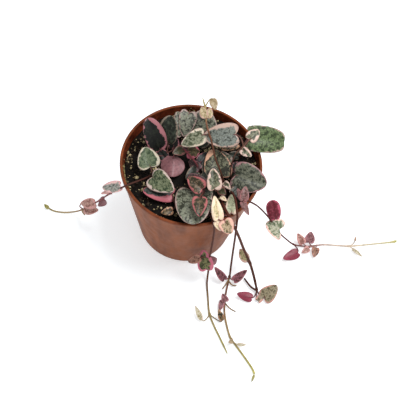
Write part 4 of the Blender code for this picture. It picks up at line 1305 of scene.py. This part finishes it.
@dataclass(frozen=True)
class Soil:
    """A cake of moist peat with crumbs of bark and grains of pumice on its top."""

    pot: Pot
    level: float = 78.0
    mound: float = 1.2
    rings: int = 70
    sides: int = 200
    crumbs: int = 2300
    grains: int = 640
    clinging: int = 110  # specks of lime and dry moss on the pot's wall
    drifts: tuple[float, float] = (98.0, 196.0)  # degrees: behind on the right, and at the left
    seed: int = 5

    def edge(self) -> float:
        """The radius at which the top meets the pot's wall."""
        return self.pot.inner_radius(self.level)

    def height(self, x: np.ndarray, y: np.ndarray) -> np.ndarray:
        """Work out the rough top: a low mound with three sizes of noise on it.

        Args:
            x: Places along the first axis.
            y: Places along the second.

        Returns:
            The top's height at each place.
        """
        flat = np.stack([x, y, np.zeros_like(x)], axis=1)
        return (self.level + self.mound * (1 - np.hypot(x, y) ** 2 / self.edge() ** 2)
                + 0.9 * value_noise(flat, 8.0, 1) + 0.7 * value_noise(flat, 3.1, 2)
                + 0.4 * value_noise(flat, 1.3, 3))

    def build_cake(self, material: bpy.types.Material) -> None:
        """Make the cake: rings from the middle of the top to the wall, down it and under.

        Args:
            material: The peat.
        """
        chamfer = 2.5
        under = self.pot.floor + 0.3
        edge = self.edge() - 0.05
        foot = self.pot.inner_radius(self.pot.floor + chamfer) - 0.35
        radii = np.concatenate([edge * np.linspace(0, 1, self.rings + 1)[1:],
                                [foot, foot - chamfer, foot / 2]])
        heights = np.concatenate([np.full(self.rings, self.level),
                                  [self.pot.floor + chamfer, under, under]])
        turn = -np.linspace(0, 2 * np.pi, self.sides, endpoint=False)
        x, y = radii[:, None] * np.cos(turn), radii[:, None] * np.sin(turn)
        z = np.repeat(heights[:, None], self.sides, axis=1)
        top = slice(0, self.rings)
        z[top] = self.height(x[top].ravel(), y[top].ravel()).reshape(self.rings, -1)
        middle = self.height(np.zeros(1), np.zeros(1))[0]
        points = np.vstack([[(0, 0, middle)], np.stack([x, y, z], axis=-1).reshape(-1, 3),
                            [(0, 0, under)]])
        cake = Surface()
        cake.add(points, wrapped_grid(len(radii), self.sides),
                 grain_tone=1 + 0.5 * value_noise(points, 2.0, 7))
        declare(cake.build("peat", material), "soil")

    def lumps(self, name: str, places: np.ndarray, sizes: np.ndarray, tones: np.ndarray,
              material: bpy.types.Material, rng: np.random.Generator) -> None:
        """Make a mesh of loose lumps: stretched, turned and dented balls of three rings of six.

        Args:
            name: The piece's name.
            places: The middle of each lump.
            sizes: The radius of each.
            tones: How light each is.
            material: Their material.
            rng: The source of their shapes.
        """
        lift, turn = np.radians([-55, 0, 55]), np.linspace(0, 2 * np.pi, 6, endpoint=False)
        rings = np.stack([np.cos(lift)[:, None] * np.cos(turn), np.cos(lift)[:, None]
                          * np.sin(turn), np.repeat(np.sin(lift)[:, None], 6, axis=1)], axis=-1)
        ball = np.vstack([[(0, 0, -1)], rings.reshape(-1, 3), [(0, 0, 1)]])
        count, corners = len(places), len(ball)
        stretch = rng.uniform(0.55, 1.35, (count, 1, 3)) * rng.uniform(0.7, 1.2,
                                                                      (count, corners, 1))
        axes = np.linalg.qr(rng.normal(size=(count, 3, 3)))[0]
        axes[:, :, 0] *= np.sign(np.linalg.det(axes))[:, None]
        shapes = np.einsum("nij,nkj->nki", axes, ball * stretch) * sizes[:, None, None]
        points = (shapes + places[:, None]).reshape(-1, 3)
        faces = [(block[None] + corners * np.arange(count)[:, None, None])
                 .reshape(-1, block.shape[1]) for block in wrapped_grid(3, 6)]
        heap = Surface()
        heap.add(points, faces, grain_tone=np.repeat(tones, corners))
        piece = heap.build(name, material)
        declare(piece, "soil")
        LOG.info("%s: %d", name, count)

    def scatter(self, count: int, rng: np.random.Generator, reach: float) -> np.ndarray:
        """Choose places on the top, denser by the wall and in drifts.

        Args:
            count: How many.
            rng: Their source.
            reach: The furthest from the middle.

        Returns:
            One row for each.
        """
        tries = rng.uniform(-reach, reach, (count * 8, 2))
        far = np.hypot(tries[:, 0], tries[:, 1])
        drifts = value_noise(np.column_stack([tries, np.zeros(len(tries))]), 9.0, 11)
        keep = (far < reach) & (rng.uniform(size=len(tries)) < 0.03 + 0.22 * (far / reach) ** 6
                                + 2.0 * np.maximum(0, drifts - 0.1))
        x, y = tries[keep][:count].T
        return np.stack([x, y, self.height(x, y)], axis=1)

    def wall_places(self, rng: np.random.Generator) -> np.ndarray:
        """Choose places on the pot's wall over the soil, in two drifts that thin out upwards.

        Args:
            rng: Their source.

        Returns:
            One row for each.
        """
        drift = np.radians(np.where(np.arange(self.clinging) % 2, *self.drifts))
        angle = drift + rng.normal(0, 0.1, self.clinging)
        height = self.level + 0.5 + rng.exponential(1.6, self.clinging)
        height = np.minimum(height, self.pot.height - 1.5)
        radius = self.pot.inner_radius(height) - 0.15
        return np.stack([radius * np.cos(angle), radius * np.sin(angle), height], axis=1)

    def build(self) -> None:
        """Build the cake, its crumbs and grains, and the specks that cling to the pot's wall."""
        rng = np.random.default_rng(self.seed)
        peat = PottingMix("milled_peat", "040302", "18120d", 1.6).build()
        bark = PottingMix("bark_crumbs", "0a0705", "382a1f", 1.2, 0.85).build()
        pumice = PottingMix("pumice_grains", "a8905c", "efe2b8", 0.9, 0.8).build()
        self.build_cake(peat)
        places = self.scatter(self.crumbs, rng, self.edge() - 0.8)
        self.lumps("bark_crumbs", places, rng.uniform(0.35, 1.25, len(places)) ** 1.2,
                   rng.uniform(0.5, 1.5, len(places)), bark, rng)
        places = self.scatter(self.grains, rng, self.edge() - 0.6)
        places[:, 2] += 0.35
        sizes = np.minimum(1.5, 0.34 + rng.exponential(0.34, len(places)))
        self.lumps("pumice_grains", places, sizes, rng.uniform(0.15, 1.0, len(places)), pumice,
                   rng)
        places = self.wall_places(rng)
        moss = PottingMix("dry_moss", "6e6238", "c9bb85", 0.9).build()
        self.lumps("moss_specks", places, rng.uniform(0.25, 0.6, self.clinging),
                   rng.uniform(0.5, 1.1, self.clinging), moss, rng)


# The camera and the studio

def build_camera() -> None:
    """Put the camera at the viewpoint, with the picture's focal length."""
    right, up, forward = SIGHT.axes()
    data = bpy.data.cameras.new("viewpoint")
    data.sensor_width = 36.0
    data.lens = SIGHT.focus / (2 * SIGHT.middle) * data.sensor_width
    data.clip_start = 0.01
    camera = bpy.data.objects.new("viewpoint", data)
    turn = Matrix((right, up, -forward)).transposed().to_4x4()
    camera.matrix_world = Matrix.Translation((SIGHT.eye() * MM).tolist()) @ turn
    bpy.context.scene.collection.objects.link(camera)
    bpy.context.scene.camera = camera


@dataclass(frozen=True)
class Studio:
    """A white light table, an even sky and one large soft light from behind on the right."""

    table_size: float = 60.0  # metres, so that it fills any view from the side
    table_drop: float = 0.25  # mm, so that the lowest leaf still lies on the table
    white: tuple[float, float, float, float] = (0.84, 0.89, 0.92, 1.0)
    glow: float = 0.46  # light of the table itself, which keeps shadows faint
    glow_colour: tuple[float, float, float, float] = (0.97, 0.99, 1.0, 1.0)
    sky: float = 0.6
    key: float = 10.0  # watts
    key_size: float = 0.5  # metres, as is its place
    key_place: tuple[float, float, float] = (0.36, 0.12, 1.1)

    def build(self) -> None:
        """Make the table and the lights."""
        bpy.ops.mesh.primitive_plane_add(size=self.table_size,
                                         location=(0, 0, -self.table_drop * MM))
        table = bpy.context.object
        table.name = "table"
        mat, _ = bare_material("white_table")
        shader = add_node(mat, "BsdfPrincipled", Base_Color=self.white)
        shader.inputs["Roughness"].default_value = 0.8
        shader.inputs["Emission Color"].default_value = self.glow_colour
        shader.inputs["Emission Strength"].default_value = self.glow
        add_node(mat, "OutputMaterial", Surface=shader.outputs[0])
        table.data.materials.append(mat)
        world = bpy.data.worlds.new("studio")
        world.use_nodes = True
        backdrop = world.node_tree.nodes["Background"]
        backdrop.inputs["Color"].default_value = (1.0, 1.0, 1.0, 1.0)
        backdrop.inputs["Strength"].default_value = self.sky
        bpy.context.scene.world = world
        light = bpy.data.lights.new("window", "AREA")
        light.energy = self.key
        light.size = self.key_size
        lamp = bpy.data.objects.new("window", light)
        lamp.location = self.key_place
        lamp.rotation_euler = (-lamp.location).to_track_quat("-Z", "Y").to_euler()
        bpy.context.scene.collection.objects.link(lamp)
        bpy.context.scene.view_settings.view_transform = "Standard"


def main() -> None:
    """Build the plant, its pot, soil, camera and studio, and log the vines, the pot and the soil's
    lumps.
    """
    logging.basicConfig(level=logging.INFO, format="%(message)s")
    Plant().build(WaxyLeaf().build(), YoungStem().build())
    pot = Pot()
    pot.build(MouldedPot().build())
    Soil(pot).build()
    build_camera()
    Studio().build()


if __name__ == "__main__":
    main()
